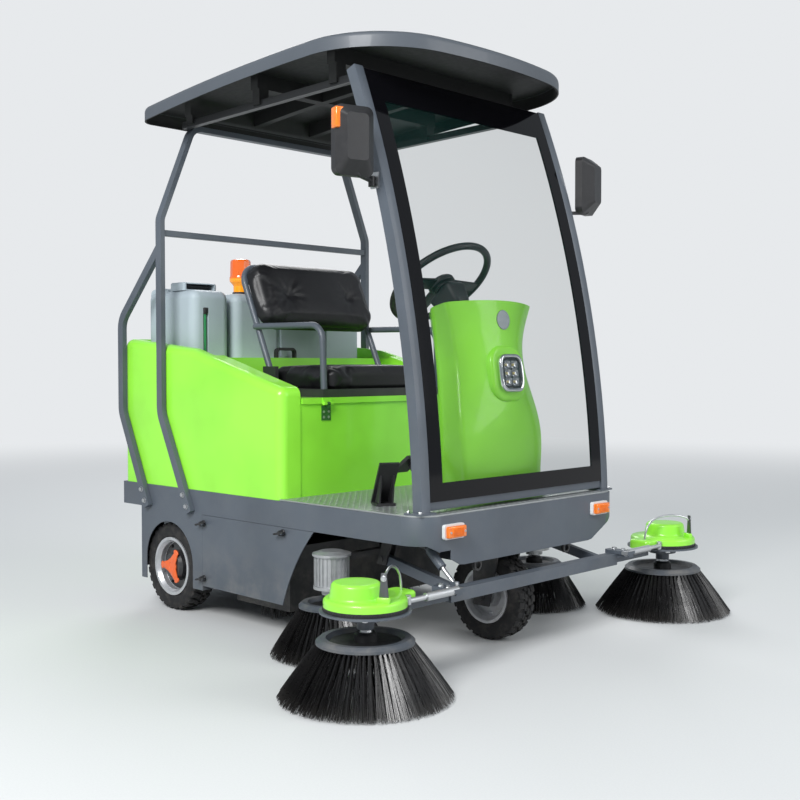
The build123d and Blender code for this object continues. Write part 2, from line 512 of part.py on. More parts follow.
def canopy_rail(y, play=0.0):
    plane = Plane(origin=(rail_start[0], y, rail_start[1]), x_dir=(0, 1, 0), z_dir=(rail_run[0], 0, rail_run[1]))
    length = sqrt(rail_run[0] ** 2 + rail_run[1] ** 2)
    return plane * Box(RAIL_SIZE + 2 * play, RAIL_SIZE + 2 * play, length, align=(Align.CENTER, Align.CENTER, Align.MIN))


rails = [canopy_rail(-RAIL_HALF), canopy_rail(RAIL_HALF)]
for s in rails:
    screen += s
save("windscreen_frame", screen)
glass = curved_strip((-POST_HALF + h + 2, POST_HALF - h - 2), h - GLASS, h, lean + 0.45, POST_LEAN_TOP - 0.1)
save("windscreen_glass", glass)

# Canopy: bowed moulded roof with a deep rim, a raised middle and two ribs that sit on the rails.
(rim_x0, rim_z0), (rim_x1, rim_z1), (rim_x2, rim_z2) = ROOF_RIM


def roof_outline(inset):
    x0, x1, h = ROOF_REAR + inset, ROOF_FRONT - inset, ROOF_HALF - inset
    side_x = ROOF_FRONT - ROOF_BOW - inset
    edges = [Line((x0, -h), (side_x, -h)), ThreePointArc((side_x, -h), (x1, 0), (side_x, h)),
             Line((side_x, h), (x0, h)), Line((x0, h), (x0, -h))]
    face = make_face(Wire(edges))
    corners = face.vertices().sort_by(Axis.X)
    face = fillet(corners[:2], ROOF_CORNERS[0] - 0.6 * inset)
    return fillet(face.vertices().sort_by(Axis.X)[-2:], ROOF_CORNERS[1] - inset)


def roof_layer(inset, low, high):
    """Part of the outline between two curves that follow the rim's lower edge."""
    points = ((rim_x2 - 200, rim_z2 - 32), (rim_x1, rim_z1), (rim_x0 + 200, rim_z0 + 4))
    lower = [(px, 0, pz + low) for px, pz in points]
    upper = [(px, 0, pz + high) for px, pz in points]
    edge = [ThreePointArc(*lower), Line(lower[2], upper[2]), ThreePointArc(*upper[::-1]), Line(upper[0], lower[0])]
    slab = Pos(0, 700, 0) * extrude(make_face(Wire(edge)), amount=1400, dir=(0, -1, 0))
    return extrude(Pos(0, 0, 1850) * roof_outline(inset), amount=400) & slab


roof = roof_layer(0, 0, ROOF_RIM_H) + roof_layer(95, 10, ROOF_RIM_H + ROOF_CROWN)
cavity = roof_layer(ROOF_SKIN, -5, ROOF_RIM_H - ROOF_SKIN)
roof -= cavity
RIB_X = (60.0, 480.0, 900.0)
for x in RIB_X:
    rail_z = rail_start[1] + rail_run[1] / rail_run[0] * (x - rail_start[0])
    roof += block((x - 20, x + 20), (-RAIL_HALF - 30, RAIL_HALF + 30), (rail_z - 2, 2300)) & cavity
    for y in (-RAIL_HALF, RAIL_HALF):
        roof += block((x - 20, x + 20), (y - 22, y + 22), (rail_z - 4, rim_z1 + 20)) & \
            roof_layer(ROOF_SKIN, -90, ROOF_RIM_H - ROOF_SKIN + 1)
for y in (-150.0, 150.0):
    roof += block((RIB_X[0], RIB_X[-1]), (y - 16, y + 16), (rim_z2 + 8, 2300)) & cavity
for y in (-RAIL_HALF, RAIL_HALF):
    roof -= canopy_rail(y, FIT)
save("canopy_roof", roof)

# Mirrors on the posts: bracket plate, bent arm and a canted housing.
MIRROR_Z = 1585.0                # bracket height
MIRROR = (1180.0, 640.0, 1690.0)
MIRROR_SIZE = (138.0, 222.0, 68.0)
MIRROR_YAW = 15.0
mount_x = post_at(lean + (MIRROR_Z - POST_FOOT_Z) / bend_r * 57.3 * 1.06, 0)[0]
post_face = POST_HALF + POST_SIZE / 2
for side, name in ((1, "left"), (-1, "right")):
    bracket = block((mount_x - 18, mount_x + 18), (post_face, post_face + 6), (MIRROR_Z - 30, MIRROR_Z + 22))
    bracket += rod((mount_x, post_face + 18, MIRROR_Z - 26), (mount_x, post_face + 18, MIRROR_Z + 8), 11)
    bracket += block((mount_x - 8, mount_x + 8), (post_face, post_face + 16), (MIRROR_Z - 16, MIRROR_Z))
    bracket += round_tube([(mount_x, post_face + 18, MIRROR_Z - 8), (MIRROR[0] + 6, MIRROR[1] - 8, MIRROR_Z - 2),
                           (MIRROR[0] + 6, MIRROR[1], MIRROR[2] - 80)], 16, 7)
    w, h_m, d_m = MIRROR_SIZE
    back = Plane(origin=(-0.4 * d_m, 0, 0), x_dir=(0, 1, 0), z_dir=(1, 0, 0))
    outline = [back * RectangleRounded(w, h_m, 24), back.offset(0.42 * d_m) * RectangleRounded(w, h_m, 24),
               back.offset(d_m) * (Pos(8, 6) * RectangleRounded(0.56 * w, 0.66 * h_m, 14))]
    shell = loft([f.face() for f in outline], ruled=True)
    shell -= back * extrude(RectangleRounded(w - 12, h_m - 12, 18), amount=6)
    mirror_part = bracket + Pos(*MIRROR) * Rot(0, 0, MIRROR_YAW) * shell
    if side < 0:
        mirror_part = mirror(mirror_part, about=Plane.XZ)
    save(f"mirror_{name}", mirror_part)

# Steering column: hollow moulded pedestal, its dark top panel with the shaft sleeve, and the head lamp.
# Per level: z, rear x and half width, x where the side begins, x where the bow begins, x front, half width.
COLUMN = ((FLOOR_TOP, 1105.0, 146.0, 1190.0, 1294.0, 1312.0, 231.0), (680.0, 1098.0, 146.0, 1173.0, 1274.0, 1315.0, 223.0),
          (840.0, 1088.0, 145.0, 1155.0, 1247.0, 1305.0, 213.0), (985.0, 1073.0, 139.0, 1120.0, 1210.0, 1285.0, 190.0),
          (1090.0, 1055.0, 139.0, 1116.0, 1201.0, 1272.0, 200.0), (1230.0, 1018.0, 124.0, 1142.0, 1204.0, 1260.0, 250.0))
COLUMN_CORNERS = (26.0, 44.0, 24.0)     # corner radius at the rear, the shoulder and the bow
COLUMN_WALL = 6.0
COLUMN_TOP = (1165.0, 1186.0, 0.22)     # x, z and slope of the top plane


def column_body(inset):
    """Smooth loft through the waisted, bow-fronted cross sections, drawn in by an inset."""
    faces = []
    for z, rear, rear_half, side, bow, front, half in COLUMN:
        rear, rear_half, side, bow = rear + inset, rear_half - 0.41 * inset, side + 0.41 * inset, bow - 0.6 * inset
        front, half = front - inset, half - inset
        edges = [Line((rear, -rear_half), (side, -half)), Line((side, -half), (bow, -half)),
                 ThreePointArc((bow, -half), (front, 0), (bow, half)), Line((bow, half), (side, half)),
                 Line((side, half), (rear, rear_half)), Line((rear, rear_half), (rear, -rear_half))]
        face = make_face(Wire(edges))
        for x, radius in zip((bow, side, rear), COLUMN_CORNERS[::-1]):
            face = fillet([v for v in face.vertices() if abs(v.X - x) < 0.5], radius - 0.7 * inset)
        faces.append(Pos(0, 0, z) * face.face())
    return loft(faces)


axis_x, axis_z = -sin(radians(WHEEL_TILT)), cos(radians(WHEEL_TILT))


def on_axis(distance):
    """Point of the steering shaft's line at a distance above the steering wheel's centre."""
    return (WHEEL_C[0] + distance * axis_x, 0, WHEEL_C[1] + distance * axis_z)


top_plane = Plane(origin=(COLUMN_TOP[0], 0, COLUMN_TOP[1]), x_dir=(1, 0, COLUMN_TOP[2]), z_dir=(-COLUMN_TOP[2], 0, 1))
above = top_plane * Box(500, 600, 300, align=(Align.CENTER, Align.CENTER, Align.MIN))
column = column_body(0) - above
inner_column = column_body(COLUMN_WALL)
LAMP_LEAN = 8.0
LAMP_PLANE = Plane(origin=(1296, 0, 950), x_dir=(0, 1, 0), z_dir=(cos(radians(LAMP_LEAN)), 0, sin(radians(LAMP_LEAN))))
pod = extrude(LAMP_PLANE * RectangleRounded(178, 196, 66), amount=-70, taper=-14)
pod = fillet(pod.faces().sort_by(Axis.X)[-1].edges(), 14)
column = column + pod - inner_column
SLEEVE_R = 30.0
SHAFT_R = 10.0
slab = top_plane * Pos(0, 0, -14) * Box(500, 600, 10, align=(Align.CENTER, Align.CENTER, Align.MIN))
dash = column_body(COLUMN_WALL + FIT) & slab
sleeve = rod(on_axis(-172), on_axis(-42), SLEEVE_R) + rod(on_axis(-172), on_axis(-118), SLEEVE_R + 9)
dash += sleeve & above
dash += (sleeve - above) & column_body(COLUMN_WALL + FIT)
dash -= rod(on_axis(-190), on_axis(-30), SHAFT_R + BORE_FIT)
save("steering_column", column)
save("dash_panel", dash)
lamp = extrude(LAMP_PLANE.offset(FIT) * RectangleRounded(127, 137, 36), amount=18)
save("headlight", fillet(lamp.faces().sort_by(Axis.X)[-1].edges(), 6))

# Steering wheel: round rim, three flat spokes, hub and shaft.
wheel_plane = Plane(origin=on_axis(0), x_dir=(axis_z, 0, -axis_x), z_dir=(axis_x, 0, axis_z))
grip = [(WHEEL_R + WHEEL_TUBE * cos(radians(a)), WHEEL_TUBE * sin(radians(a))) for a in range(15, 360, 30)]
wheel = wheel_plane * revolve(Plane.XZ * make_face(Polyline(*grip, close=True)), axis=Axis.Z)
wheel += rod(on_axis(-32), on_axis(6), 34)
for a in (90, 180, 270):
    wheel += wheel_plane * Rot(0, 0, a) * Pos(WHEEL_R / 2, 0, -6) * Box(WHEEL_R, 34, 8)
wheel += rod(on_axis(-180), on_axis(-30), SHAFT_R)
save("steering_wheel", wheel)

# Pedals on the floor at the driver's right foot.
PEDAL = (1054.0, -399.0, -27.0, 55.0)   # accelerator's heel, its turn outwards and slope
pedal = Rot(0, -PEDAL[3], 0) * Box(174, 70, 9, align=(Align.MIN, Align.CENTER, Align.MIN))
pedal = Pos(0, 0, 4) * pedal + block((0, 62), (-34, 34), (0, 10))
for y in (-26, 20):
    pedal += side_plate([(8, 4), (60, 4), (78, 104), (70, 108)], (y, y + 6))
pedal = Pos(PEDAL[0], PEDAL[1], FLOOR_TOP) * Rot(0, 0, PEDAL[2]) * pedal
brake = side_plate([(1205, FLOOR_TOP), (1240, FLOOR_TOP), (1118, 656), (1092, 632)], (-306, -294))
brake += Pos(1050, -300, 604) * Rot(0, -36, 0) * Box(95, 74, 12, align=(Align.MIN, Align.CENTER, Align.MIN))
brake += block((1190, 1255), (-330, -270), (FLOOR_TOP, FLOOR_TOP + 8))
save("pedals", pedal, brake)

# Marker lamps on the band: amber in front, red behind.
lamps = []
for y in (-420.0, 420.0):
    lamps.append(fillet(block((BAND_FRONT, BAND_FRONT + 12), (y - 58, y + 36 + 2), (422, 470)).edges().filter_by(Axis.X), 8)
                 if y > 0 else fillet(block((BAND_FRONT, BAND_FRONT + 12), (y - 38, y + 58), (422, 470)).edges().filter_by(Axis.X), 8))
    lamps.append(fillet(block((BAND_REAR - 12, BAND_REAR), (y - 20, y + 70), (424, 474)).edges().filter_by(Axis.X), 8)
                 if y > 0 else fillet(block((BAND_REAR - 12, BAND_REAR), (y - 70, y + 20), (424, 474)).edges().filter_by(Axis.X), 8))
save("marker_lamps", *lamps)

# Roller brush under the middle, with its hood, end plates and brackets up to the rails.
ROLLER_Z = ROLLER_R + TIP_Z
ROLLER_SHAFT = 12.0
hood_x = (270.0, 590.0)
end_y = ROLLER_HALF + 8.0
hood_part = block(hood_x, (-end_y - 7, end_y + 7), (298, 302))
hood_part += block((hood_x[1] - 4, hood_x[1]), (-end_y - 7, end_y + 7), (60, 302))
hood_part += both(block(hood_x, (end_y, end_y + 7), (60, 302)))
hood_part += both(block((ROLLER_X - 60, ROLLER_X + 60), (290, 310), (298, BAND_TOP - RAIL[1])))
hood_part += rod((ROLLER_X, -end_y - 14, ROLLER_Z), (ROLLER_X, end_y + 14, ROLLER_Z), ROLLER_SHAFT)
save("brush_housing", hood_part)
roller = rod((ROLLER_X, -ROLLER_HALF, ROLLER_Z), (ROLLER_X, ROLLER_HALF, ROLLER_Z), ROLLER_R)
roller -= rod((ROLLER_X, -ROLLER_HALF - 1, ROLLER_Z), (ROLLER_X, ROLLER_HALF + 1, ROLLER_Z), ROLLER_SHAFT + BORE_FIT)
save("roller_brush", roller)

# Debris hopper: box open towards the roller, with side flanges that slide on the frame's runners.
hx0, hx1, hy, hz0, hz1 = HOPPER
hopper = block((hx0, hx1), (-hy, hy), (hz0, hz1))
hopper -= block((hx0 + HOPPER_WALL, hx1 + 1), (-hy + HOPPER_WALL, hy - HOPPER_WALL), (hz0 + HOPPER_WALL, hz1 - HOPPER_WALL))
hopper += both(block((-288, hx1), (hy - 1, hy + 18), (RUNNER_Z + FIT, RUNNER_Z + FIT + 4)))
grip_x = hx0 - HANDLE[0]
hopper += round_tube([(hx0, -110, 300), (grip_x, -110, 300), (grip_x, 110, 300), (hx0, 110, 300)], 12, HANDLE[1])
save("debris_hopper", hopper)

# Front brush frame: square bar with two trailing arms.
BORE = ARM_PIN_R + BORE_FIT
bar = block((BAR_X - BAR / 2, BAR_X + BAR / 2), (-BAR_HALF, BAR_HALF), (BAR_Z - BAR / 2, BAR_Z + BAR / 2))
for y in (-ARM_Y, ARM_Y):
    bar += side_plate([(ARM_PIVOT[0], ARM_PIVOT[1] + 18), (ARM_PIVOT[0], ARM_PIVOT[1] - 18), (BAR_X - 15, BAR_Z - 16),
                       (BAR_X - 15, BAR_Z + 18)], (y - 12, y + 12))
    bar += rod((ARM_PIVOT[0], y - 12, ARM_PIVOT[1]), (ARM_PIVOT[0], y + 12, ARM_PIVOT[1]), 21)
    bar -= rod((ARM_PIVOT[0], y - 20, ARM_PIVOT[1]), (ARM_PIVOT[0], y + 20, ARM_PIVOT[1]), BORE)
LIFT_Y = -440.0
LIFT_EYE = (1428.0, 283.0)       # x, z of the rod's pin on the bar
LIFT_ROOT = (1300.0, 396.0)      # x, z of the tube's pin on the frame
LIFT_PIN = 5.0
EYE_FREE = 1.4                   # play of the rod eye, where the linkage is opened
bar += both(block((LIFT_EYE[0] - 9, LIFT_EYE[0] + 9), (LIFT_Y - 12, LIFT_Y - 7), (BAR_Z, LIFT_EYE[1] + 8)))[0]
bar += block((LIFT_EYE[0] - 9, LIFT_EYE[0] + 9), (LIFT_Y + 7, LIFT_Y + 12), (BAR_Z, LIFT_EYE[1] + 8))
bar += rod((LIFT_EYE[0], LIFT_Y - 12, LIFT_EYE[1]), (LIFT_EYE[0], LIFT_Y + 12, LIFT_EYE[1]), LIFT_PIN)
save("front_crossbar", bar)

# Lift actuator: tube pinned to the frame and rod pinned to the bar.
run = Vector(LIFT_EYE[0] - LIFT_ROOT[0], 0, LIFT_EYE[1] - LIFT_ROOT[1])
span = run.length
unit = run / span


def lift_point(distance):
    return (LIFT_ROOT[0] + unit.X * distance, LIFT_Y, LIFT_ROOT[1] + unit.Z * distance)


TONGUE = 6.0                     # half width of both eyes between their cheeks
tube = rod(lift_point(2), lift_point(30), 11) + rod((LIFT_ROOT[0], LIFT_Y - 9, LIFT_ROOT[1]), (LIFT_ROOT[0], LIFT_Y + 9, LIFT_ROOT[1]), 12)
tube &= block((LIFT_ROOT[0] - 30, LIFT_ROOT[0] + 60), (LIFT_Y - TONGUE, LIFT_Y + TONGUE), (LIFT_ROOT[1] - 60, LIFT_ROOT[1] + 30))
tube += rod(lift_point(26), lift_point(100), 15) - rod(lift_point(34), lift_point(101), 7 + BORE_FIT)
tube -= rod((LIFT_ROOT[0], LIFT_Y - 20, LIFT_ROOT[1]), (LIFT_ROOT[0], LIFT_Y + 20, LIFT_ROOT[1]), LIFT_PIN + BORE_FIT)
save("lift_actuator_tube", tube)
piston = rod(lift_point(75), lift_point(span - 8), 7)
for side in (-1, 1):
    flat = sorted((LIFT_Y + side * TONGUE, LIFT_Y + side * 20))
    piston -= block((LIFT_EYE[0] - 20, LIFT_EYE[0] + 20), flat, (LIFT_EYE[1] - 20, LIFT_EYE[1] + 20))
piston += rod((LIFT_EYE[0], LIFT_Y - TONGUE, LIFT_EYE[1]), (LIFT_EYE[0], LIFT_Y + TONGUE, LIFT_EYE[1]), 10)
piston -= rod((LIFT_EYE[0], LIFT_Y - 20, LIFT_EYE[1]), (LIFT_EYE[0], LIFT_Y + 20, LIFT_EYE[1]), LIFT_PIN + EYE_FREE)
save("lift_actuator_rod", piston)

# Front brushes: carrier with its bearing, cover, break-away links, toothed disc and bristles.
bx, by = FRONT_BRUSH
SPINDLE_R = 10.0
up = (Align.CENTER, Align.CENTER, Align.MIN)
arm_y = by - CARRIER_R
carrier = Pos(bx, by, CARRIER_Z[0]) * Cylinder(CARRIER_R, CARRIER_Z[1] - CARRIER_Z[0], align=up)
carrier += block((bx - 30, bx + 30), (BAR_HALF, arm_y + 30), CARRIER_Z)
carrier += block((bx - 14, bx + 14), (BAR_HALF, arm_y + 10), (CARRIER_Z[0] - 20, CARRIER_Z[0]))
carrier += Pos(bx, by, 206) * Cylinder(26, CARRIER_Z[1] - 206, align=up)
carrier += Pos(bx, by, 232) * Cylinder(52, CARRIER_Z[0] - 232, align=up)
for k in range(4):
    a = radians(45 + 90 * k)
    carrier += Pos(bx + 84 * cos(a), by + 84 * sin(a), CARRIER_Z[0] - 7) * Cylinder(8, 7, align=up)
carrier -= Pos(bx, by, 150) * Cylinder(SPINDLE_R + BORE_FIT, 105, align=up)
for shape, name in zip(both(carrier), ("left", "right")):
    save(f"brush_carrier_{name}", shape)

NOSE = (46.0, 178.0)             # half width and reach of the cover's nose towards the bar
z0, z1, z2 = COVER_Z


def cover_form(inset):
    """Round skirt with its nose, and the stepped dome on top, drawn in by an inset."""
    plan = Circle(COVER_R - inset) + Pos(0, -NOSE[1] / 2) * RectangleRounded(
        2 * (NOSE[0] - inset), NOSE[1] - 2 * inset, 20 - inset)
    form = Pos(0, 0, z0 - inset) * extrude(plan, amount=z1 - z0)
    form = fillet(form.faces().sort_by(Axis.Z)[-1].edges(), 11 - inset)
    form += Pos(0, 0, z1 - inset - 2) * Cone(COVER_DOME_R + 8 - inset, COVER_DOME_R - inset, z2 - z1 + 2, align=up)
    return fillet(form.faces().sort_by(Axis.Z)[-1].edges(), 13 - inset)


cover = cover_form(0) - cover_form(3)
for k in range(4):
    a = radians(45 + 90 * k)
    cover += Pos((COVER_R - 12) * cos(a), (COVER_R - 12) * sin(a), CARRIER_Z[1]) * Cylinder(4, z1 - 1.5 - CARRIER_Z[1], align=up)
cover += block((-4, 0), (-64, -42), (z1 - 4, 366)) - rod((-9, -53, 352), (5, -53, 352), 5)
cover += round_tube([(-2, -53, 362), (-2, -62, 378), (-2, -118, 372), (-2, -140, z1 - 6)], 14, 3.5)
cover = Pos(bx, by, 0) * cover
for shape, name in zip(both(cover), ("left", "right")):
    save(f"brush_cover_{name}", shape)

# Telescopic overload links beside the carrier arms, with their end blocks on the bar.
link_x = bx + 58
link = block((bx - 24, link_x + 14), (BAR_HALF - 9, BAR_HALF + 40), (BAR_Z + BAR / 2, BAR_Z + BAR / 2 + 12))
link += block((bx - 34, link_x + 12), (BAR_HALF + 1, BAR_HALF + 30), (CARRIER_Z[1], BAR_Z + BAR / 2 + 12))
link += rod((link_x, BAR_HALF + 12, 277), (link_x, arm_y - 60, 277), 13)
link += rod((link_x, arm_y - 62, 277), (link_x, arm_y + 16, 277), 8)
link += rod((link_x, arm_y + 16, CARRIER_Z[1]), (link_x, arm_y + 16, 288), 9)
save("breakaway_links", *both(link))


def side_brush(x, y, disc_r, tip_r, spindle_top, name):
    dz0, dz1 = DISC_Z
    disc = turned([(x, 0, dz0), (x + disc_r, 0, dz0), (x + disc_r, 0, dz0 + 8), (x + disc_r - 12, 0, dz1), (x + disc_r - 30, 0, dz1),
                   (x + disc_r - 40, 0, dz0 + 6), (x + 34, 0, dz0 + 6), (x + 34, 0, dz1 + 8), (x + 26, 0, dz1 + 16),
                   (x + SPINDLE_R, 0, dz1 + 16), (x + SPINDLE_R, 0, spindle_top), (x, 0, spindle_top)],
                  Axis((x, 0, 0), (0, 0, 1)))
    disc = Pos(0, y, 0) * disc
    bristles = turned([(x + disc_r - 42, 0, dz0), (x + disc_r - 3, 0, dz0), (x + tip_r, 0, TIP_Z + 8), (x + tip_r - 8, 0, TIP_Z),
                       (x + tip_r - 68, 0, TIP_Z)], Axis((x, 0, 0), (0, 0, 1)))
    bristles = Pos(0, y, 0) * bristles
    for shape, tuft, side in zip(both(disc), both(bristles), ("left", "right")):
        save(f"{name}_disc_{side}", shape)
        save(f"{name}_bristles_{side}", tuft)


side_brush(*FRONT_BRUSH, FRONT_DISC_R, FRONT_BRUSH_R, 250.0, "front_brush")
side_brush(*MID_BRUSH, MID_DISC_R, MID_BRUSH_R, 260.0, "mid_brush")

# Middle brushes: swing arm pinned under the frame rail, with the motor at its end.
qx, qy = MID_BRUSH
MID_PIVOT = (300.0, 330.0)       # y, z
MOTOR_R = 60.0
MOTOR_FINS = 24
motor = Pos(qx, qy, 232) * Cylinder(MOTOR_R - 4, 108, align=up)
for k in range(MOTOR_FINS):
    motor += Pos(qx, qy, 240) * Rot(0, 0, 360 / MOTOR_FINS * k) * Pos(MOTOR_R - 4, 0, 0) * Box(8, 4, 92, align=up)
motor += Pos(qx, qy, 338) * Cylinder(MOTOR_R + 6, 8, align=up) + Pos(qx, qy, 346) * Cone(MOTOR_R + 2, MOTOR_R - 20, 8, align=up)
motor += Pos(qx, qy, 226) * Cylinder(MOTOR_R + 2, 10, align=up) + Pos(qx, qy, 206) * Cylinder(34, 20, align=up)
motor -= Pos(qx, qy, 200) * Cylinder(SPINDLE_R + BORE_FIT, 66, align=up)
swing = block((qx - 16, qx + 16), (MID_PIVOT[0], qy - MOTOR_R + 4), (MID_PIVOT[1] - 13, MID_PIVOT[1] + 7))
swing += rod((qx - 16, MID_PIVOT[0], MID_PIVOT[1]), (qx + 16, MID_PIVOT[0], MID_PIVOT[1]), 18)
swing -= rod((qx - 30, MID_PIVOT[0], MID_PIVOT[1]), (qx + 30, MID_PIVOT[0], MID_PIVOT[1]), 8 + BORE_FIT)
swing -= Pos(qx, qy, 215) * Cylinder(MOTOR_R + FIT, 125, align=up)
for shape, m, side in zip(both(swing), both(motor), ("left", "right")):
    save(f"mid_brush_arm_{side}", shape)
    save(f"mid_brush_motor_{side}", m)
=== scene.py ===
import math
import random

import bmesh
import bpy
import numpy as np
from mathutils import Matrix, Vector


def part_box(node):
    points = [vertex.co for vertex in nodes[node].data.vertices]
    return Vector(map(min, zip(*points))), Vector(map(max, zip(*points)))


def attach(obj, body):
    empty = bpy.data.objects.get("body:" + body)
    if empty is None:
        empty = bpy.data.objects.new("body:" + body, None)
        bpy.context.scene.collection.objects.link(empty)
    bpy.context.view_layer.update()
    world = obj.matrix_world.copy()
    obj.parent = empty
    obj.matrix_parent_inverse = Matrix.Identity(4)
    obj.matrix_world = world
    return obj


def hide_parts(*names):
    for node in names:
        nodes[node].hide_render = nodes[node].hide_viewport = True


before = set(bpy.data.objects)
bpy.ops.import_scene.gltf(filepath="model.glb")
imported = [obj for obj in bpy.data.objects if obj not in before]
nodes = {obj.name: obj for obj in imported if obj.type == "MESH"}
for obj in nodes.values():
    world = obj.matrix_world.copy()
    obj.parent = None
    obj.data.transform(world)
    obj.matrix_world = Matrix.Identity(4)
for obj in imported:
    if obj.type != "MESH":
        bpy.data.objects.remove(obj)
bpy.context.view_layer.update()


# Chassis: welded frame of rectangular tube with its side plates, painted black before assembly.
# The steering fork, the middle brush arms, the roller's housing and the seat pan wear the same
# paint, and road dust lies on the lower parts.


class Signal:
    """A node's output that takes part in arithmetic: each operator adds a Math node."""

    def __init__(self, maker, socket):
        self.maker = maker
        self.socket = socket

    def maths(self, operation, *values):
        return self.maker.node("ShaderNodeMath", {"operation": operation}, dict(enumerate(values)))

    def __add__(self, other):
        return self.maths("ADD", self, other)

    def __sub__(self, other):
        return self.maths("SUBTRACT", self, other)

    def __rsub__(self, other):
        return self.maths("SUBTRACT", other, self)

    def __mul__(self, other):
        return self.maths("MULTIPLY", self, other)

    def __pow__(self, other):
        return self.maths("POWER", self, other)

    def __abs__(self):
        return self.maths("ABSOLUTE", self)

    def either(self, other):
        return self.maths("MAXIMUM", self, other)

    __radd__ = __add__
    __rmul__ = __mul__


class NodeTree:
    """A tree of shader nodes with its node maker."""

    def __init__(self, tree):
        self.tree = tree

    def feed(self, socket, value):
        if isinstance(value, Signal):
            self.tree.links.new(value.socket, socket)
        elif hasattr(socket.default_value, "__len__") and len(socket.default_value) == 4:
            socket.default_value = (*value[:3], 1)
        else:
            socket.default_value = value

    def node(self, kind, settings=None, inputs=None, out=0):
        """Add a node: its settings first, then the values or links of its sockets."""
        node = self.tree.nodes.new(kind)
        for key, value in (settings or {}).items():
            setattr(node, key, value)
        for key, value in (inputs or {}).items():
            self.feed(node.inputs[key], value)
        return Signal(self, node.outputs[out])


class Finish(NodeTree):
    """One surface finish: a Principled shader fed from the object's own coordinates."""

    def __init__(self, name, **shader):
        self.material = bpy.data.materials.new(name)
        self.material.use_nodes = True
        super().__init__(self.material.node_tree)
        self.shader = self.tree.nodes["Principled BSDF"]
        for socket, value in shader.items():
            self.put(socket.replace("_", " "), value)
        self.place = self.node("ShaderNodeTexCoord", out="Object")

    def noise(self, scale, detail=2.0, rough=0.5, place=None):
        return self.node("ShaderNodeTexNoise", None, {
            "Vector": place or self.place, "Scale": scale, "Detail": detail, "Roughness": rough})

    def cells(self, scale):
        return self.node("ShaderNodeTexVoronoi", None, {"Vector": self.place, "Scale": scale})

    def stretched(self, x, y, z):
        """The object's coordinates with each axis scaled, for grain that runs one way."""
        return self.node("ShaderNodeVectorMath", {"operation": "MULTIPLY"}, {0: self.place, 1: (x, y, z)})

    def band(self, value, low, high):
        """0 below low, 1 above high, and a smooth step between."""
        return self.node("ShaderNodeMapRange", {"interpolation_type": "SMOOTHSTEP"}, {
            0: value, 1: low, 2: high, 3: 0.0, 4: 1.0})

    def blend(self, share, first, second):
        return self.node("ShaderNodeMix", {"data_type": "RGBA"}, {0: share, 6: first, 7: second}, out=2)

    def axis(self, name):
        return self.node("ShaderNodeSeparateXYZ", None, {0: self.place}, out=name)

    def facing_up(self):
        normal = self.node("ShaderNodeNewGeometry", out="Normal")
        return self.node("ShaderNodeSeparateXYZ", None, {0: normal}, out="Z")

    def from_line(self, centre, across):
        """Distance from a line through a centre: across is 1 on the two axes that count."""
        away = self.node("ShaderNodeVectorMath", {"operation": "SUBTRACT"}, {0: self.place, 1: centre})
        flat = self.node("ShaderNodeVectorMath", {"operation": "MULTIPLY"}, {0: away, 1: across})
        return self.node("ShaderNodeVectorMath", {"operation": "LENGTH"}, {0: flat}, out="Value")

    def put(self, socket, value):
        self.feed(self.shader.inputs[socket], value)

    def colour(self, value):
        self.put("Base Color", value)

    def over(self, share, colour):
        """Lay another colour over a share of the surface."""
        below = Signal(self, self.shader.inputs["Base Color"].links[0].from_socket)
        self.colour(self.blend(share, below, colour))

    def rough(self, value):
        self.put("Roughness", value)

    def bump(self, height, depth, strength=1.0):
        self.put("Normal", self.node("ShaderNodeBump", None, {
            "Height": height, "Distance": depth, "Strength": strength}))

    def coat(self, *pieces):
        for piece in pieces:
            piece.data.materials.clear()
            piece.data.materials.append(self.material)


def mottled(name, cloud, first, second, rough=None, grain=None, stretch=None, **shader):
    """Two tones mixed by a cloud of a scale and detail, which also varies the roughness by a share
    over a base; a second cloud's scale, detail, depth and strength give the grain."""
    made = Finish(name, **shader)
    cloud = made.noise(*cloud, place=made.stretched(*stretch) if stretch else None)
    made.colour(made.blend(cloud, first, second))
    if rough:
        made.rough(cloud * rough[0] + rough[1])
    if grain:
        made.bump(made.noise(*grain[:2]), *grain[2:])
    return made


DUST = (0.33, 0.30, 0.26)


def paint(name, colour, gloss, peel, dust, top=0.55):
    """Sprayed paint: a slight change of tone, orange peel, and dust that thins out towards the top."""
    made = Finish(name, Coat_Weight=gloss, Coat_Roughness=0.08)
    pale = tuple(min(1.0, 1.10 * c + 0.003) for c in colour)
    deep = tuple(0.92 * c for c in colour)
    body = made.blend(made.band(made.noise(2.5, 3.0), 0.35, 0.65), deep, pale)
    height = 1 - made.band(made.axis("Z"), 0.02, top)
    lying = made.band(made.facing_up(), 0.5, 1.0) * 0.35 + 0.65
    cloud = made.band(made.noise(9.0, 8.0, 0.65), 0.38, 0.72)
    share = (height * 0.8 + 0.12) * cloud * lying * dust
    made.colour(made.blend(share, body, DUST))
    made.rough(share * 0.5 + made.noise(30.0, 3.0) * 0.12 + (0.26 + 0.2 * (1 - gloss)))
    made.bump(made.noise(peel, 2.0), 0.0004, 0.35)
    return made


def softened(piece, width, segments=2, angle=35):
    """Round a piece's sharp edges a little, as bends, ground welds and moulded corners are."""
    weld = piece.modifiers.new("weld", "WELD")
    weld.merge_threshold = 0.00002
    bevel = piece.modifiers.new("edges", "BEVEL")
    bevel.width = width / 1000
    bevel.segments = segments
    bevel.limit_method = "ANGLE"
    bevel.angle_limit = math.radians(angle)


black_paint = paint("black_chassis_paint", (0.022, 0.023, 0.025), 0.2, 420.0, 0.55)
UNDERSIDE = (
    "chassis_frame", "steering_fork", "mid_brush_arm_left", "mid_brush_arm_right", "brush_housing",
    "seat_pan")
black_paint.coat(*[nodes[n] for n in UNDERSIDE])


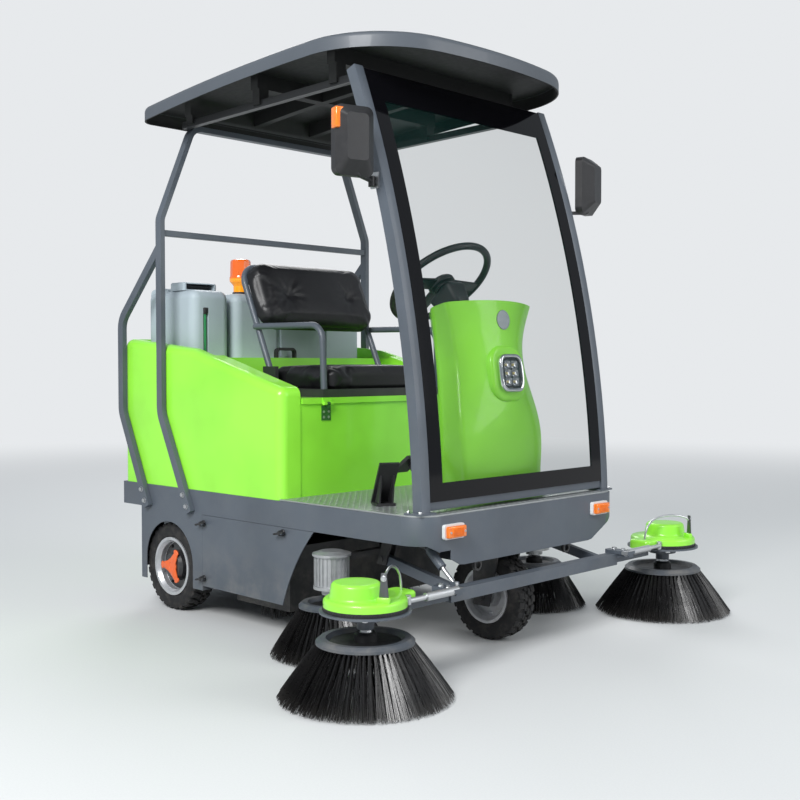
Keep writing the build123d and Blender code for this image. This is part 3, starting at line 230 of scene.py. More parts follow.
# Folded steel skirt round the deck with its lift-off side panels, posts, hoop, canopy, front bar
# and carriers: all powder coated in one slate grey, a fine satin grain that dust settles on.
SLATE_GREY = (0.072, 0.087, 0.108)
slate_paint = paint("slate_powder_coat", SLATE_GREY, 0.15, 900.0, 0.5, top=0.35)
SLATE = (
    "chassis_skirt", "side_panel_left", "side_panel_right", "windscreen_frame", "roll_hoop", "debris_hopper",
    "seat_frame", "front_crossbar", "brush_carrier_left", "brush_carrier_right", "lift_actuator_tube")
slate_paint.coat(*[nodes[n] for n in SLATE])

# The same paint where part of a piece isn't slate: the canopy rails between the posts and the hoop,
# near black as painted shade under the roof, and bright zinc tubes of the breakaway links, whose end
# blocks are painted with the bar.
AXLE_X = 0.671
LINK_LINE, LINK_R = (1.476 - AXLE_X, 0, 0.277), 0.0136
rail_shade_paint = paint("slate_with_roof_shade", SLATE_GREY, 0.15, 900.0, 0.5, top=0.35)
between = 1 - rail_shade_paint.band(abs(rail_shade_paint.axis("Y")), 0.474, 0.476)
# Painted shade: near black on the part between the posts above 1.86 m, under the roof.
rail_shade_paint.over(between * rail_shade_paint.band(rail_shade_paint.axis("Z"), 1.86, 1.865), (0.011, 0.012, 0.013))
rail_shade_paint.coat(nodes["windscreen_frame"])
link_paint = paint("slate_and_zinc_links", SLATE_GREY, 0.15, 900.0, 0.3, top=0.35)
on_tube = 1 - link_paint.band(link_paint.from_line(LINK_LINE, (1, 0, 1)), LINK_R - 0.0002, LINK_R + 0.0002)
link_paint.over(on_tube, (0.58, 0.59, 0.60))
link_paint.put("Metallic", on_tube)
link_paint.coat(nodes["breakaway_links"])
for name in ("windscreen_frame", "front_crossbar", "chassis_skirt", "debris_hopper", "roll_hoop"):
    softened(nodes[name], 1.6)


# Bright zinc screws: hexagon heads on pressed washers, wherever the frame, hoop, panels and
# carriers are bolted. One screw is made and set down again at each place.


def spot(x, y, z):
    """A place measured in millimetres from the rear axle, as a point of the model."""
    return Vector((x / 1000 - AXLE_X, y / 1000, z / 1000))


def only(piece):
    bpy.ops.object.select_all(action="DESELECT")
    piece.select_set(True)
    bpy.context.view_layer.objects.active = piece


def turned(name, steps, sides=48):
    """Lathe work about the Z axis: a ring is walked through radius and height steps, in millimetres."""
    (radius, height), *rest = steps
    bpy.ops.object.select_all(action="DESELECT")
    bpy.ops.mesh.primitive_circle_add(vertices=sides, radius=radius / 1000, location=(0, 0, height / 1000))
    piece = bpy.context.object
    piece.name = name
    bpy.ops.object.mode_set(mode="EDIT")
    for r, h in rest:
        bpy.ops.mesh.extrude_edges_move(TRANSFORM_OT_translate={"value": (0, 0, (h - height) / 1000)})
        bpy.ops.transform.resize(value=(r / radius, r / radius, 1), center_override=(0, 0, h / 1000))
        radius, height = r, h
    bpy.ops.mesh.select_all(action="SELECT")
    bpy.ops.mesh.remove_doubles(threshold=0.00001)
    bpy.ops.mesh.select_all(action="DESELECT")
    bpy.ops.mesh.select_mode(type="EDGE")
    bpy.ops.mesh.select_non_manifold(extend=False)
    shell = bmesh.from_edit_mesh(piece.data)
    loose = [e for e in shell.edges if e.is_boundary]
    if loose:
        bmesh.ops.holes_fill(shell, edges=loose, sides=0)
        bmesh.update_edit_mesh(piece.data)
    bpy.ops.object.mode_set(mode="OBJECT")
    bpy.ops.object.transform_apply(location=True)
    return piece


def rounded(name, size, radius, segments=3):
    """A block about the origin, its edges rounded over; sizes in millimetres."""
    bpy.ops.object.select_all(action="DESELECT")
    bpy.ops.mesh.primitive_cube_add(size=1)
    piece = bpy.context.object
    piece.name = name
    piece.scale = [s / 1000 for s in size]
    bpy.ops.object.transform_apply(scale=True)
    bpy.ops.object.mode_set(mode="EDIT")
    bpy.ops.mesh.bevel(offset=radius / 1000, segments=segments, affect="EDGES")
    bpy.ops.object.mode_set(mode="OBJECT")
    return piece


def facing(direction, place=(0, 0, 0), roll=0.0):
    """Matrix that turns +Z to a direction and moves it to a place."""
    turn = Vector(direction).to_track_quat("Z", "Y").to_matrix().to_4x4()
    return Matrix.Translation(place) @ turn @ Matrix.Rotation(roll, 4, "Z")


def at(x, y, z):
    """Matrix that moves the origin to a spot of the machine."""
    return Matrix.Translation(spot(x, y, z))


def moved(x, y, z):
    return Matrix.Translation((x / 1000, y / 1000, z / 1000))


def spun(degrees, axis):
    return Matrix.Rotation(math.radians(degrees), 4, axis)


def sheared(xy=0.0, xz=0.0, zx=0.0, zy=0.0):
    """Matrix that shifts its first axis in step with its second: xy moves x by a share of y."""
    return Matrix(((1, xy, xz, 0), (0, 1, 0, 0), (zx, zy, 1, 0), (0, 0, 0, 1)))


def scaled(x, y, z):
    return Matrix.Diagonal((x, y, z, 1))


def placed(piece, matrix):
    piece.data.transform(matrix)
    return piece


def linked(name, data):
    piece = bpy.data.objects.new(name, data)
    bpy.context.scene.collection.objects.link(piece)
    return piece


def gather(name, source, places):
    """One mesh of many copies of a modelled piece, each set down by its own matrix."""
    mesh = source.data
    count = len(mesh.vertices)
    flat = np.empty(count * 3)
    mesh.vertices.foreach_get("co", flat)
    points = np.c_[flat.reshape(-1, 3), np.ones(count)]
    moved_points = np.concatenate([(points @ np.array(m).T)[:, :3] for m in places])
    faces = [tuple(p.vertices) for p in mesh.polygons]
    every_face = [tuple(v + k * count for v in f) for k in range(len(places)) for f in faces]
    made = bpy.data.meshes.new(name)
    made.from_pydata(moved_points.tolist(), [], every_face)
    return linked(name, made)


def joined(name, *pieces):
    bpy.ops.object.select_all(action="DESELECT")
    for piece in pieces:
        piece.select_set(True)
    bpy.context.view_layer.objects.active = pieces[0]
    if len(pieces) > 1:
        bpy.ops.object.join()
    pieces[0].name = name
    return pieces[0]


def settle(piece, matrix=None, angle=35):
    """Put a finished piece's place into its mesh, turn its faces outwards and smooth its curves."""
    if matrix is not None:
        piece.data.transform(matrix)
    only(piece)
    bpy.ops.object.transform_apply(location=True, rotation=True, scale=True)
    bpy.ops.object.mode_set(mode="EDIT")
    bpy.ops.mesh.select_all(action="SELECT")
    bpy.ops.mesh.remove_doubles(threshold=0.000005)
    bpy.ops.mesh.normals_make_consistent(inside=False)
    bpy.ops.object.mode_set(mode="OBJECT")
    bpy.ops.object.shade_smooth_by_angle(angle=math.radians(angle))
    return piece


zinc = mottled("bright_zinc", (40.0, 3.0), (0.50, 0.51, 0.52), (0.62, 0.63, 0.64), (0.12, 0.24), Metallic=1.0)
zinc.coat(nodes["lift_actuator_rod"])

washer = turned("washer", [(4, 0), (11, 0), (11, 1.6), (9.6, 2.2), (4, 2.2)], 24)
head = turned("screw_head", [
    (8.2, 1.6), (9.2, 2.4), (9.2, 7.2), (8.0, 8.4), (5.4, 8.4), (5.0, 8.0), (0.4, 8.0)], 6)
screw = joined("screw", washer, head)
HOOP_FEET = ((172.0, -192.0), (-118.0, -184.0))    # x of each leg's foot, and how far it leans over its rise
FOOT_Z, LEG_RISE = 408.0, 382.0
sites = [facing((0, s, 0), spot(foot + lean * rise / LEG_RISE, s * 575, FOOT_Z + rise))
         for s in (-1, 1) for foot, lean in HOOP_FEET for rise in (24, 68)]
frame_screws = settle(gather("frame_screws", screw, sites))
zinc.coat(frame_screws)
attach(frame_screws, "machine")


# Floor: aluminium checker plate screwed to the frame inside the band. Its lozenges are rolled up
# out of the sheet in two directions, so they are real shapes here.
tread_metal = mottled("checker_plate_aluminium", (60.0, 4.0), (0.38, 0.40, 0.40), (0.58, 0.60, 0.60),
                      (0.25, 0.3), (500.0, 2.0, 0.0002, 0.4), Metallic=0.85)
tread_metal.coat(nodes["floor_plate"])
bpy.ops.object.select_all(action="DESELECT")
bpy.ops.mesh.primitive_circle_add(vertices=8, radius=1, fill_type="NGON")
lozenge = bpy.context.object
bpy.ops.object.mode_set(mode="EDIT")
bpy.ops.mesh.select_all(action="SELECT")
bpy.ops.mesh.extrude_region_move(TRANSFORM_OT_translate={"value": (0, 0, 1)})
bpy.ops.transform.resize(value=(0.62, 0.62, 1), center_override=(0, 0, 1))
bpy.ops.object.mode_set(mode="OBJECT")
placed(lozenge, scaled(0.0125, 0.0034, 0.0014))
PITCH_X, PITCH_Y = 29.0, 14.5
PLATE_X, PLATE_Y, PLATE_TOP = (712, 1385), 536, 501.95
CORNER_X, CORNER_Y, CORNER_R = 1300, 463, 74     # centres and radius of the plate's front corners
COLUMN_X, COLUMN_Y = (1082, 1318), 203           # the pedestal's footprint, which stays free
sites = []
for row, y in enumerate(np.arange(-PLATE_Y, PLATE_Y + 1, PITCH_Y)):
    for x in np.arange(PLATE_X[0] + (row % 2) * PITCH_X / 2, PLATE_X[1], PITCH_X):
        past_corner = math.hypot(max(0.0, x - CORNER_X), max(0.0, abs(y) - CORNER_Y)) > CORNER_R
        if not past_corner and not (COLUMN_X[0] < x < COLUMN_X[1] and abs(y) < COLUMN_Y):
            sites.append(at(x, y, PLATE_TOP) @ spun(45 if row % 2 else -45, "Z"))
lozenges = settle(gather("floor_lozenges", lozenge, sites))
tread_metal.coat(lozenges)
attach(lozenges, "machine")
bpy.data.objects.remove(lozenge)


# Wheels: moulded rubber tyres with shoulder lugs and a staggered centre row, on silver dished
# rims. The rear hubs are black drums under a plain orange three-armed clip.
rubber = Finish("tyre_rubber", Specular_IOR_Level=0.3)
grit = rubber.band(rubber.noise(35.0, 6.0, 0.7), 0.42, 0.75)
rubber.colour(rubber.blend(grit * 0.45, (0.014, 0.014, 0.015), (0.085, 0.078, 0.070)))
rubber.rough(grit * 0.15 + 0.62)
rubber.bump(rubber.noise(350.0, 4.0), 0.0006, 0.5)


def tyre(name, r, half, bead, lugs, centre, cad):
    """Carcass on the lathe, then lugs set round it in four rows."""
    wall, pitch = r - bead, 2 * math.pi * r / lugs
    flank = [(bead - 4, 0.76), (bead + 1, 0.84), (bead + 5, 0.93), (bead + 9, 0.935), (bead + 11, 0.965),
             (bead + 0.4 * wall, 0.985), (bead + 0.62 * wall, 0.97), (r - 14, 0.93), (r - 9, 0.86)]
    steps = [(a, -b * half) for a, b in flank] + [(r - 7.2, -0.74 * half), (r - 7, 0.74 * half)]
    steps += [(a, b * half) for a, b in flank[::-1]] + [(bead - 4, -0.76 * half)]
    parts = [placed(turned(name, steps, 96), spun(90, "X"))]
    shoulder = rounded("shoulder_lug", (pitch * 0.66, 0.50 * half, 16), 2.2, 2)
    middle = rounded("centre_lug", (pitch * 0.70, 0.30 * half, 12), 2.0, 2)
    for lug, slant, out, sunk, lead in (
            (shoulder, sheared(xy=0.14, zy=-0.16), 0.64, 9.2, 0.0),
            (middle, sheared(xy=0.4), 0.19, 6.3, 0.25)):
        sites = [spun(360 * (k + lead + shift) / lugs, "Y") @ moved(0, side * out * half, r - sunk)
                 @ scaled(side, side, 1) for k in range(lugs) for side, shift in ((1, 0.0), (-1, 0.5))]
        parts.append(gather("lug_rows", placed(lug, slant), sites))
        bpy.data.objects.remove(lug)
    made = settle(joined(name, *parts), Matrix.Translation(centre))
    rubber.coat(made)
    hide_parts(cad)
    return made


silver = Finish("silver_rim_paint", Metallic=0.55, Coat_Weight=0.3)
rear_rim = Finish("rear_rim_paint", Coat_Weight=0.25)
ring = rear_rim.band(rear_rim.from_line(tuple(spot(0, 0, 175)), (1, 0, 1)), 0.0925, 0.0935)
two_tone = rear_rim.blend(ring, (0.018, 0.018, 0.020), (0.52, 0.53, 0.55))
for made, clean, dirt, share in (
        (silver, (0.50, 0.51, 0.53), (0.20, 0.18, 0.16), 0.5),
        (rear_rim, two_tone, (0.16, 0.145, 0.13), 0.35)):
    grime = made.band(made.noise(24.0, 6.0, 0.65), 0.45, 0.8)
    made.colour(made.blend(grime * share, clean, dirt))
    made.rough(grime * 0.3 + 0.3)
rear_rim.put("Metallic", ring * 0.6)
silver.coat(nodes["front_rim"])
rear_rim.coat(nodes["rear_rim_left"], nodes["rear_rim_right"])
orange = paint("orange_clip", (0.80, 0.115, 0.008), 0.4, 500.0, 0.3, top=0.4)

SIDES = ((1, "left"), (-1, "right"))
for side, name in SIDES:
    made = tyre(f"rear_tyre_tread_{name}", 175, 50, 116, 30, spot(0, side * 488, 175), f"rear_tyre_{name}")
    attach(made, f"rear_wheel_{name}")
    boss = turned("boss", [
        (20, 0), (29, 0), (30.5, 1.5), (30.5, 5), (28, 7), (16, 7), (14, 5.5), (6, 5.5)], 36)
    arms = []
    for k in range(3):
        arm = rounded("arm", (50, 40, 6), 2.6, 2)
        for vertex in arm.data.vertices:
            vertex.co.y *= 0.74 - vertex.co.x * 14
        claw = turned("claw", [(4, -3.6), (13, -3.6), (15.5, -1), (15.5, 2), (13, 3.6), (4, 3.6)], 20)
        arm = joined("arm", arm, placed(claw, moved(19.5, 2, 0) @ scaled(0.62, 1, 1)))
        arms.append(placed(arm, spun(120 * k + 180, "Z") @ moved(44, 0, 3) @ sheared(zx=-0.06)))
    clip = settle(joined(f"hub_clip_{name}", boss, *arms), facing((0, side, 0), spot(0, side * 531.5, 175)))
    orange.coat(clip)
    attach(clip, f"rear_wheel_{name}")
made = tyre("front_tyre_tread", 160, 48, 100, 28, spot(1222, 0, 160), "front_tyre")
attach(made, "front_wheel")


# Lift-off side panels: held by black moulded wing screws that are turned by hand.
black_plastic = mottled("grained_black_plastic", (14.0, 4.0), (0.012, 0.012, 0.013), (0.028, 0.028, 0.030),
                        (0.2, 0.34), Specular_IOR_Level=0.45)
black_plastic.bump(black_plastic.cells(700.0), 0.0003, 0.5)
black_plastic.coat(nodes["dash_panel"], nodes["deck_handle"], nodes["pedals"], nodes["battery_pack"])
softened(nodes["pedals"], 3.5, 3)
softened(nodes["deck_handle"], 2.5, 3)
stem = turned("stem", [(4, 0), (13, 0), (13, 3), (10.6, 5), (10, 14), (8, 21), (2, 21.6)], 20)
wings = [placed(rounded("wing", (24, 7.5, 17), 3.4, 3),
                spun(turn, "Z") @ moved(14.5, 0, 14.5) @ sheared(xz=0.25, zx=0.2)) for turn in (0, 180)]
wing_screw = joined("wing_screw", stem, *wings)
KNOBS = ((244, 372), (244, 160), (716, 385))
for side, name in SIDES:
    sites = [facing((0, side, 0), spot(x, side * 553, z), 0.2) for x, z in KNOBS]
    made = settle(gather(f"wing_screws_{name}", wing_screw, sites))
    black_plastic.coat(made)
    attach(made, "machine")
bpy.data.objects.remove(wing_screw)


# Side and roller brushes: black polypropylene strands, stapled in tufts into rings of holes in
# the disc, or in crossed spirals round the roller's core, each strand a little different.
strand_plastic = Finish("black_bristle", Specular_IOR_Level=0.5)
tips = 1 - strand_plastic.band(strand_plastic.axis("Z"), 0.004, 0.06)
shade = strand_plastic.noise(140.0, 3.0)
worn_share = tips * 0.22 + shade * 0.12
strand_plastic.colour(strand_plastic.blend(worn_share, (0.006, 0.006, 0.007), (0.085, 0.078, 0.070)))
strand_plastic.rough(shade * 0.2 + 0.2)


def strand(length, root, tip, bow):
    """One bristle along +Z: a three-sided thread that thins to its tip and bows towards +X."""
    bpy.ops.object.select_all(action="DESELECT")
    bpy.ops.mesh.primitive_circle_add(vertices=3, radius=root / 1000)
    piece = bpy.context.object
    bpy.ops.object.mode_set(mode="EDIT")
    parts = 3
    for k in range(parts):
        a, b = k / parts, (k + 1) / parts
        lean = bow * ((b - b * b) - (a - a * a)) * 4
        rise = length / parts
        bpy.ops.mesh.extrude_edges_move(TRANSFORM_OT_translate={"value": (lean / 1000, 0, rise / 1000)})
        shrink = (root + (tip - root) * b) / (root + (tip - root) * a)
        bpy.ops.transform.resize(value=(shrink, shrink, 1))
    bpy.ops.mesh.edge_face_add()
    bpy.ops.object.mode_set(mode="OBJECT")
    return piece


def brush_strands(name, centre, rings, each, seed):
    """Tufts on rings of a disc: root radius, tip radius, number of tufts; strands flare to the floor."""
    chance = random.Random(seed)
    thread = strand(100, 1.35, 0.75, 2.4)
    sites = []
    for root, tip, tufts in rings:
        for k in range(tufts):
            a = 2 * math.pi * (k + chance.uniform(-0.12, 0.12)) / tufts
            for _ in range(each):
                b = a + chance.gauss(0, 0.2 / tufts)
                c = a + chance.gauss(0, 1.9 / tufts)
                foot = Vector(((root + chance.uniform(-3.5, 3.5)) * math.cos(b),
                               (root + chance.uniform(-3, 3)) * math.sin(b), 166))
                reach = tip + chance.uniform(-17, 0)
                end = Vector((reach * math.cos(c), reach * math.sin(c), chance.uniform(3.5, 10)))
                run = end - foot
                z = run.normalized()
                out = Vector((math.cos(b), math.sin(b), 0.6))
                x = (out - out.dot(z) * z).normalized()
                turn = Matrix((x, z.cross(x), z)).transposed().to_4x4() @ scaled(1, 1, run.length / 100)
                sites.append(Matrix.Translation(centre) @ Matrix.Translation(foot / 1000) @ turn)
    made = gather(name, thread, sites)
    bpy.data.objects.remove(thread)
    strand_plastic.coat(made)
    return made


BRUSHES = (
    ("front", 1418, 825, ((142, 263, 64), (130, 240, 56), (116, 214, 48)), 16, 7),
    ("mid", 980, 560, ((106, 210, 50), (94, 190, 44), (80, 164, 34)), 15, 17))
for side, name in SIDES:
    for kind, x, y, rings, each, seed in BRUSHES:
        made = brush_strands(f"{kind}_brush_strands_{name}", spot(x, side * y, 0), rings, each, seed + side)
        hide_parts(f"{kind}_brush_bristles_{name}")
        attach(made, f"{kind}_brush_{name}")

core = turned("roller_core", [
    (12.5, -398), (52, -398), (54, -396), (54, 396), (52, 398), (12.5, 398), (12.5, -398)], 40)
placed(core, spun(90, "X"))
thread = strand(79, 1.5, 1.0, 1.2)
chance = random.Random(3)
SPIRALS, TUFTS, TUFT_PITCH, REACH = 12, 78, 10, 386
sites = []
for row in range(SPIRALS):
    for k in range(TUFTS):
        y = TUFT_PITCH * k - REACH
        for _ in range(3):
            a = 2 * math.pi * row / SPIRALS + abs(y) / REACH * 0.9 + chance.gauss(0, 0.03)
            lean = chance.gauss(0, 0.05)
            turn = Matrix.Rotation(a, 4, "Y") @ moved(0, y + chance.uniform(-3, 3), 52)
            sites.append(turn @ Matrix.Rotation(lean, 4, "X") @ scaled(1, 1, chance.uniform(0.96, 1.0)))
made = placed(joined("roller_strands", core, gather("roller_tufts", thread, sites)), at(430, 0, 135))
strand_plastic.coat(made)
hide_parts("roller_brush")
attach(made, "roller")
bpy.data.objects.remove(thread)


# Brush discs and the drives above them: pressed slate-grey discs, and the middle brushes' ribbed
# motors in cast aluminium.
for side, name in SIDES:
    for kind, x, y, inner in (("front", 1418, 825, 0.106), ("mid", 980, 560, 0.071)):
        disc_paint = paint("disc_powder_coat", (0.050, 0.060, 0.074), 0.1, 700.0, 0.5, top=0.5)
        from_spindle = disc_paint.from_line(tuple(spot(x, side * y, 0)), (1, 1, 0))
        disc_paint.over(1 - disc_paint.band(from_spindle, inner, inner + 0.001), (0.010, 0.010, 0.011))
        disc_paint.coat(nodes[f"{kind}_brush_disc_{name}"])
cast = mottled("cast_aluminium", (45.0, 5.0), (0.36, 0.37, 0.38), (0.55, 0.56, 0.57), (0.25, 0.33),
               (600.0, 2.0, 0.0003, 0.4), Metallic=0.75)
cast.coat(nodes["mid_brush_motor_left"], nodes["mid_brush_motor_right"])


# Moulded rear body, seat box, lid and hinges, the steering pedestal and the brush covers:
# through-coloured lime plastic and lime gloss paint, wiped clean, with a clear glossy surface.
lime = paint("lime_gloss", (0.285, 0.79, 0.042), 0.5, 300.0, 0.12, top=0.6)
LIME = ("rear_body", "seat_box", "seat_lid", "steering_column", "brush_cover_left", "brush_cover_right")
lime.coat(*[nodes[n] for n in LIME])


# Water tanks and filler hood: rotationally moulded polyethylene in pale blue-grey, with painted shade
# in the hood's recess and the level gauge's green tube in its channel.
tank_plastic = mottled("rotomoulded_tank", (5.0, 3.0), (0.34, 0.40, 0.44), (0.42, 0.49, 0.53), (0.15, 0.40),
                       (160.0, 3.0, 0.0008, 0.35), Specular_IOR_Level=0.35)
tank_plastic.coat(nodes["water_tanks"], nodes["filter_hood"])


# Windscreen: laminated glass bent over the posts, with a black ceramic border fired on its edge.
# The clear part only darkens what lies behind it a little, and reflects more at a low angle.
glass = Finish("laminated_glass", Roughness=0.06, IOR=1.5, Specular_IOR_Level=0.22)
BORDER_Y, BORDER_Z = 0.418, (0.5988, 1.8628)    # where the clear part ends at the sides, foot and head
edge = glass.band(abs(glass.axis("Y")), BORDER_Y - 0.0006, BORDER_Y + 0.0006)
low_edge = 1 - glass.band(glass.axis("Z"), BORDER_Z[0] - 0.0008, BORDER_Z[0] + 0.0007)
high_edge = glass.band(glass.axis("Z"), BORDER_Z[1] - 0.0008, BORDER_Z[1] + 0.0007)
border = edge.either(low_edge.either(high_edge))
grazing = glass.node("ShaderNodeLayerWeight", None, {"Blend": 0.5}, out="Facing")
glass.colour(glass.blend(border, (0.004, 0.040, 0.034), (0.003, 0.003, 0.004)))
glass.put("Alpha", border.either(grazing ** 4 * 0.6 + 0.10))
glass.coat(nodes["windscreen_glass"])


# Canopy: moulded roof in the same slate on top; its faces turned downwards take a near-black copy, painted
# shade under the roof.
roof = mottled("canopy_moulding", (3.0, 4.0), (0.060, 0.070, 0.084), (0.085, 0.098, 0.115),
               grain=(320.0, 3.0, 0.0005, 0.35), Coat_Weight=0.1)
roof.rough(roof.noise(40.0, 3.0) * 0.15 + 0.4)
# Painted shade: the near-black finish for the underside of the roof.
underside_shade = mottled("canopy_underside_shade", (4.0, 4.0), (0.007, 0.008, 0.008), (0.014, 0.015, 0.015),
               Specular_IOR_Level=0.3)
underside_shade.rough(underside_shade.noise(60.0, 3.0) * 0.15 + 0.5)
shell = linked("canopy_shell", nodes["canopy_roof"].data.copy())
form = bmesh.new()
form.from_mesh(shell.data)
bmesh.ops.remove_doubles(form, verts=form.verts, dist=0.00003)
bmesh.ops.dissolve_limit(form, angle_limit=math.radians(0.6), verts=form.verts, edges=form.edges)
bmesh.ops.dissolve_degenerate(form, dist=0.003, edges=form.edges)
form.normal_update()
shoulders = []
for edge in form.edges:
    if len(edge.link_faces) == 2 and edge.calc_face_angle_signed(0) > math.radians(50):
        tilts = sorted(face.normal.z for face in edge.link_faces)
        if -0.3 < tilts[0] < 0.3 and tilts[1] > 0.85:
            shoulders.append(edge)
bmesh.ops.bevel(form, geom=shoulders, offset=0.021, offset_type="OFFSET", segments=5, profile=0.5,
                affect="EDGES", clamp_overlap=False)
form.normal_update()
corners = np.array([v.co[:] for v in form.verts])
inside = []
# Faces turned down, apart from the outermost rim, get the painted shade.
for face in form.faces:
    normal, middle = np.array(face.normal), np.array(face.calc_center_median())
    outermost = (corners @ normal).max() - middle @ normal < 0.012
    inside.append(0 if normal[2] > 0.25 or outermost and normal[2] > -0.25 else 1)
form.to_mesh(shell.data)
form.free()
only(shell)
bpy.ops.object.shade_smooth_by_angle(angle=math.radians(32))
roof.coat(shell)
shell.data.materials.append(underside_shade.material)
shell.data.polygons.foreach_set("material_index", inside)
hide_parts("canopy_roof")
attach(shell, "machine")


# Level gauge and filler hood of the tanks: a green sight tube under a black cap in the moulded
# channel, and black louvres inside the hood's mouth, before a black plate that is painted shade.
sight = Finish("green_sight_tube", Coat_Weight=0.5)
sight.colour(sight.blend(sight.band(sight.axis("Z"), 1.02, 1.10), (0.01, 0.16, 0.05), (0.03, 0.26, 0.09)))
sight.rough(sight.noise(80.0, 2.0) * 0.1 + 0.15)
tube = settle(turned("sight_tube", [(2, 1018), (8, 1018), (8, 1192), (2, 1192)], 24), at(45, -400, 0))
sight.coat(tube)
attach(tube, "machine")
cap = settle(rounded("sight_cap", (22, 21, 26), 3), at(46, -400, 1199))
slats = [placed(rounded("slat", (3, 132, 15), 1, 1), at(x, -366, 1300) @ spun(35, "Y"))
         for x in (-50, -63, -76, -89)]
# Painted shade: a black plate at the back of the hood's mouth for the shade deep in the recess.
recess_shade_plate = placed(rounded("recess_shade_plate", (4, 133, 21), 1, 1), at(-108, -366, 1300.5))
louvre = settle(joined("hood_louvre", recess_shade_plate, *slats))
for piece in (cap, louvre):
    black_plastic.coat(piece)
    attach(piece, "machine")


# Beacon: amber lens, plain waist below and a faceted head above, on a black base.
amber = Finish("amber_lens", Coat_Weight=0.7, Specular_IOR_Level=0.6, Emission_Strength=0.32)
head_part = amber.band(amber.axis("Z"), 1.340, 1.352)
swirl = amber.noise(26.0, 3.0)
glow = amber.blend(head_part, (0.95, 0.36, 0.008), (0.62, 0.085, 0.006))
tint = amber.blend(swirl * 0.5, glow, (0.85, 0.20, 0.01))
amber.colour(tint)
amber.put("Emission Color", tint)
amber.rough(swirl * 0.15 + 0.08)
BEACON_AT = at(-40, -150, 1284)
foot = turned("beacon_foot", [(20, -5.6), (35.5, -5.6), (35.5, 2), (33, 5), (20, 5)], 40)
waist = turned("beacon_waist", [
    (20, 4), (30.6, 4), (30.6, 30), (34, 36), (45.4, 48), (46.6, 57), (46.6, 66), (44.4, 73), (30, 73)], 40)
dome = turned("beacon_head", [(30, 73), (44.0, 73), (42.6, 134), (38.5, 141), (30, 143.6), (0.5, 143.9)], 10)
ribs = [turned("rib", [(45.4, z), (47, z + 1.5), (47, z + 3), (45.4, z + 4.5), (45.4, z)], 40)
        for z in (50, 57, 64)]
lens = settle(joined("beacon_lens", waist, dome, *ribs), BEACON_AT, angle=25)
amber.coat(lens)
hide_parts("beacon")
foot = settle(foot, BEACON_AT)
black_plastic.coat(foot)
for piece in (lens, foot):
    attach(piece, "machine")


# Driver's seat: two foam cushions in black grained vinyl on the tubular frame. The back is drawn
# in by two covered buttons; the cover puckers round them and beside the arm posts.
vinyl = mottled("black_vinyl", (9.0, 4.0), (0.005, 0.005, 0.006), (0.012, 0.012, 0.014), (0.14, 0.33),
                Specular_IOR_Level=0.38)
folds = vinyl.noise(16.0, 3.0, 0.45, vinyl.stretched(1.0, 0.35, 1.6))
vinyl.bump(vinyl.cells(520.0) * 0.10 + folds, 0.004, 0.22)


def stuffed(name, node, shrink, cap, held, steps=18):
    """A cushion blown up from its CAD form: the cover is cloth under pressure, held fast where told."""
    piece = linked(name, nodes[node].data.copy())
    low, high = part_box(node)
    middle = (Vector(low) + Vector(high)) / 2
    placed(piece, Matrix.Translation(middle) @ scaled(*shrink) @ Matrix.Translation(-middle))
    only(piece)
    bpy.ops.object.mode_set(mode="EDIT")
    bpy.ops.mesh.select_all(action="SELECT")
    bpy.ops.mesh.remove_doubles(threshold=0.00005)
    bpy.ops.object.mode_set(mode="OBJECT")
    piece.data.remesh_voxel_size = 0.006
    bpy.ops.object.voxel_remesh()
    mesh = piece.data
    before = np.array([v.co[:] for v in mesh.vertices])
    after = before.copy()
    pins = piece.vertex_groups.new(name="held")
    pins.add([k for k, p in enumerate(before) if held(Vector(p))], 1.0, "REPLACE")
    cloth = piece.modifiers.new("cover", "CLOTH")
    cloth.settings.vertex_group_mass = "held"
    cloth.settings.use_pressure = True
    cloth.settings.uniform_pressure_force = 4.0
    cloth.settings.effector_weights.gravity = 0.0
    scene = bpy.context.scene
    for step in range(1, steps + 1):
        scene.frame_set(step)
    shown = piece.evaluated_get(bpy.context.evaluated_depsgraph_get()).to_mesh()
    after = np.array([v.co[:] for v in shown.vertices])
    piece.modifiers.remove(cloth)
    scene.frame_set(1)
    move = after - before
    length = np.linalg.norm(move, axis=1, keepdims=True)
    after = before + move * np.minimum(1.0, cap / np.maximum(length, 1e-9))
    return piece, after


def finished(piece, points):
    piece.data.vertices.foreach_set("co", points.ravel())
    smooth = piece.modifiers.new("smooth", "SMOOTH")
    smooth.factor = 0.5
    smooth.iterations = 5
    finer = piece.modifiers.new("finer", "SUBSURF")
    finer.levels = finer.render_levels = 1
    only(piece)
    bpy.ops.object.modifier_apply(modifier="smooth")
    bpy.ops.object.modifier_apply(modifier="finer")
    vinyl.coat(piece)
    bpy.ops.object.shade_smooth()


def hump(distance, width):
    """1 at no distance, fading out past the width."""
    return np.exp(-(distance / width) ** 2)


def bulge(share, power):
    """1 in the middle of a cushion, 0 at its edges, which lie at a share of 1."""
    return 1 - np.clip(np.abs(share), 0, 1) ** power


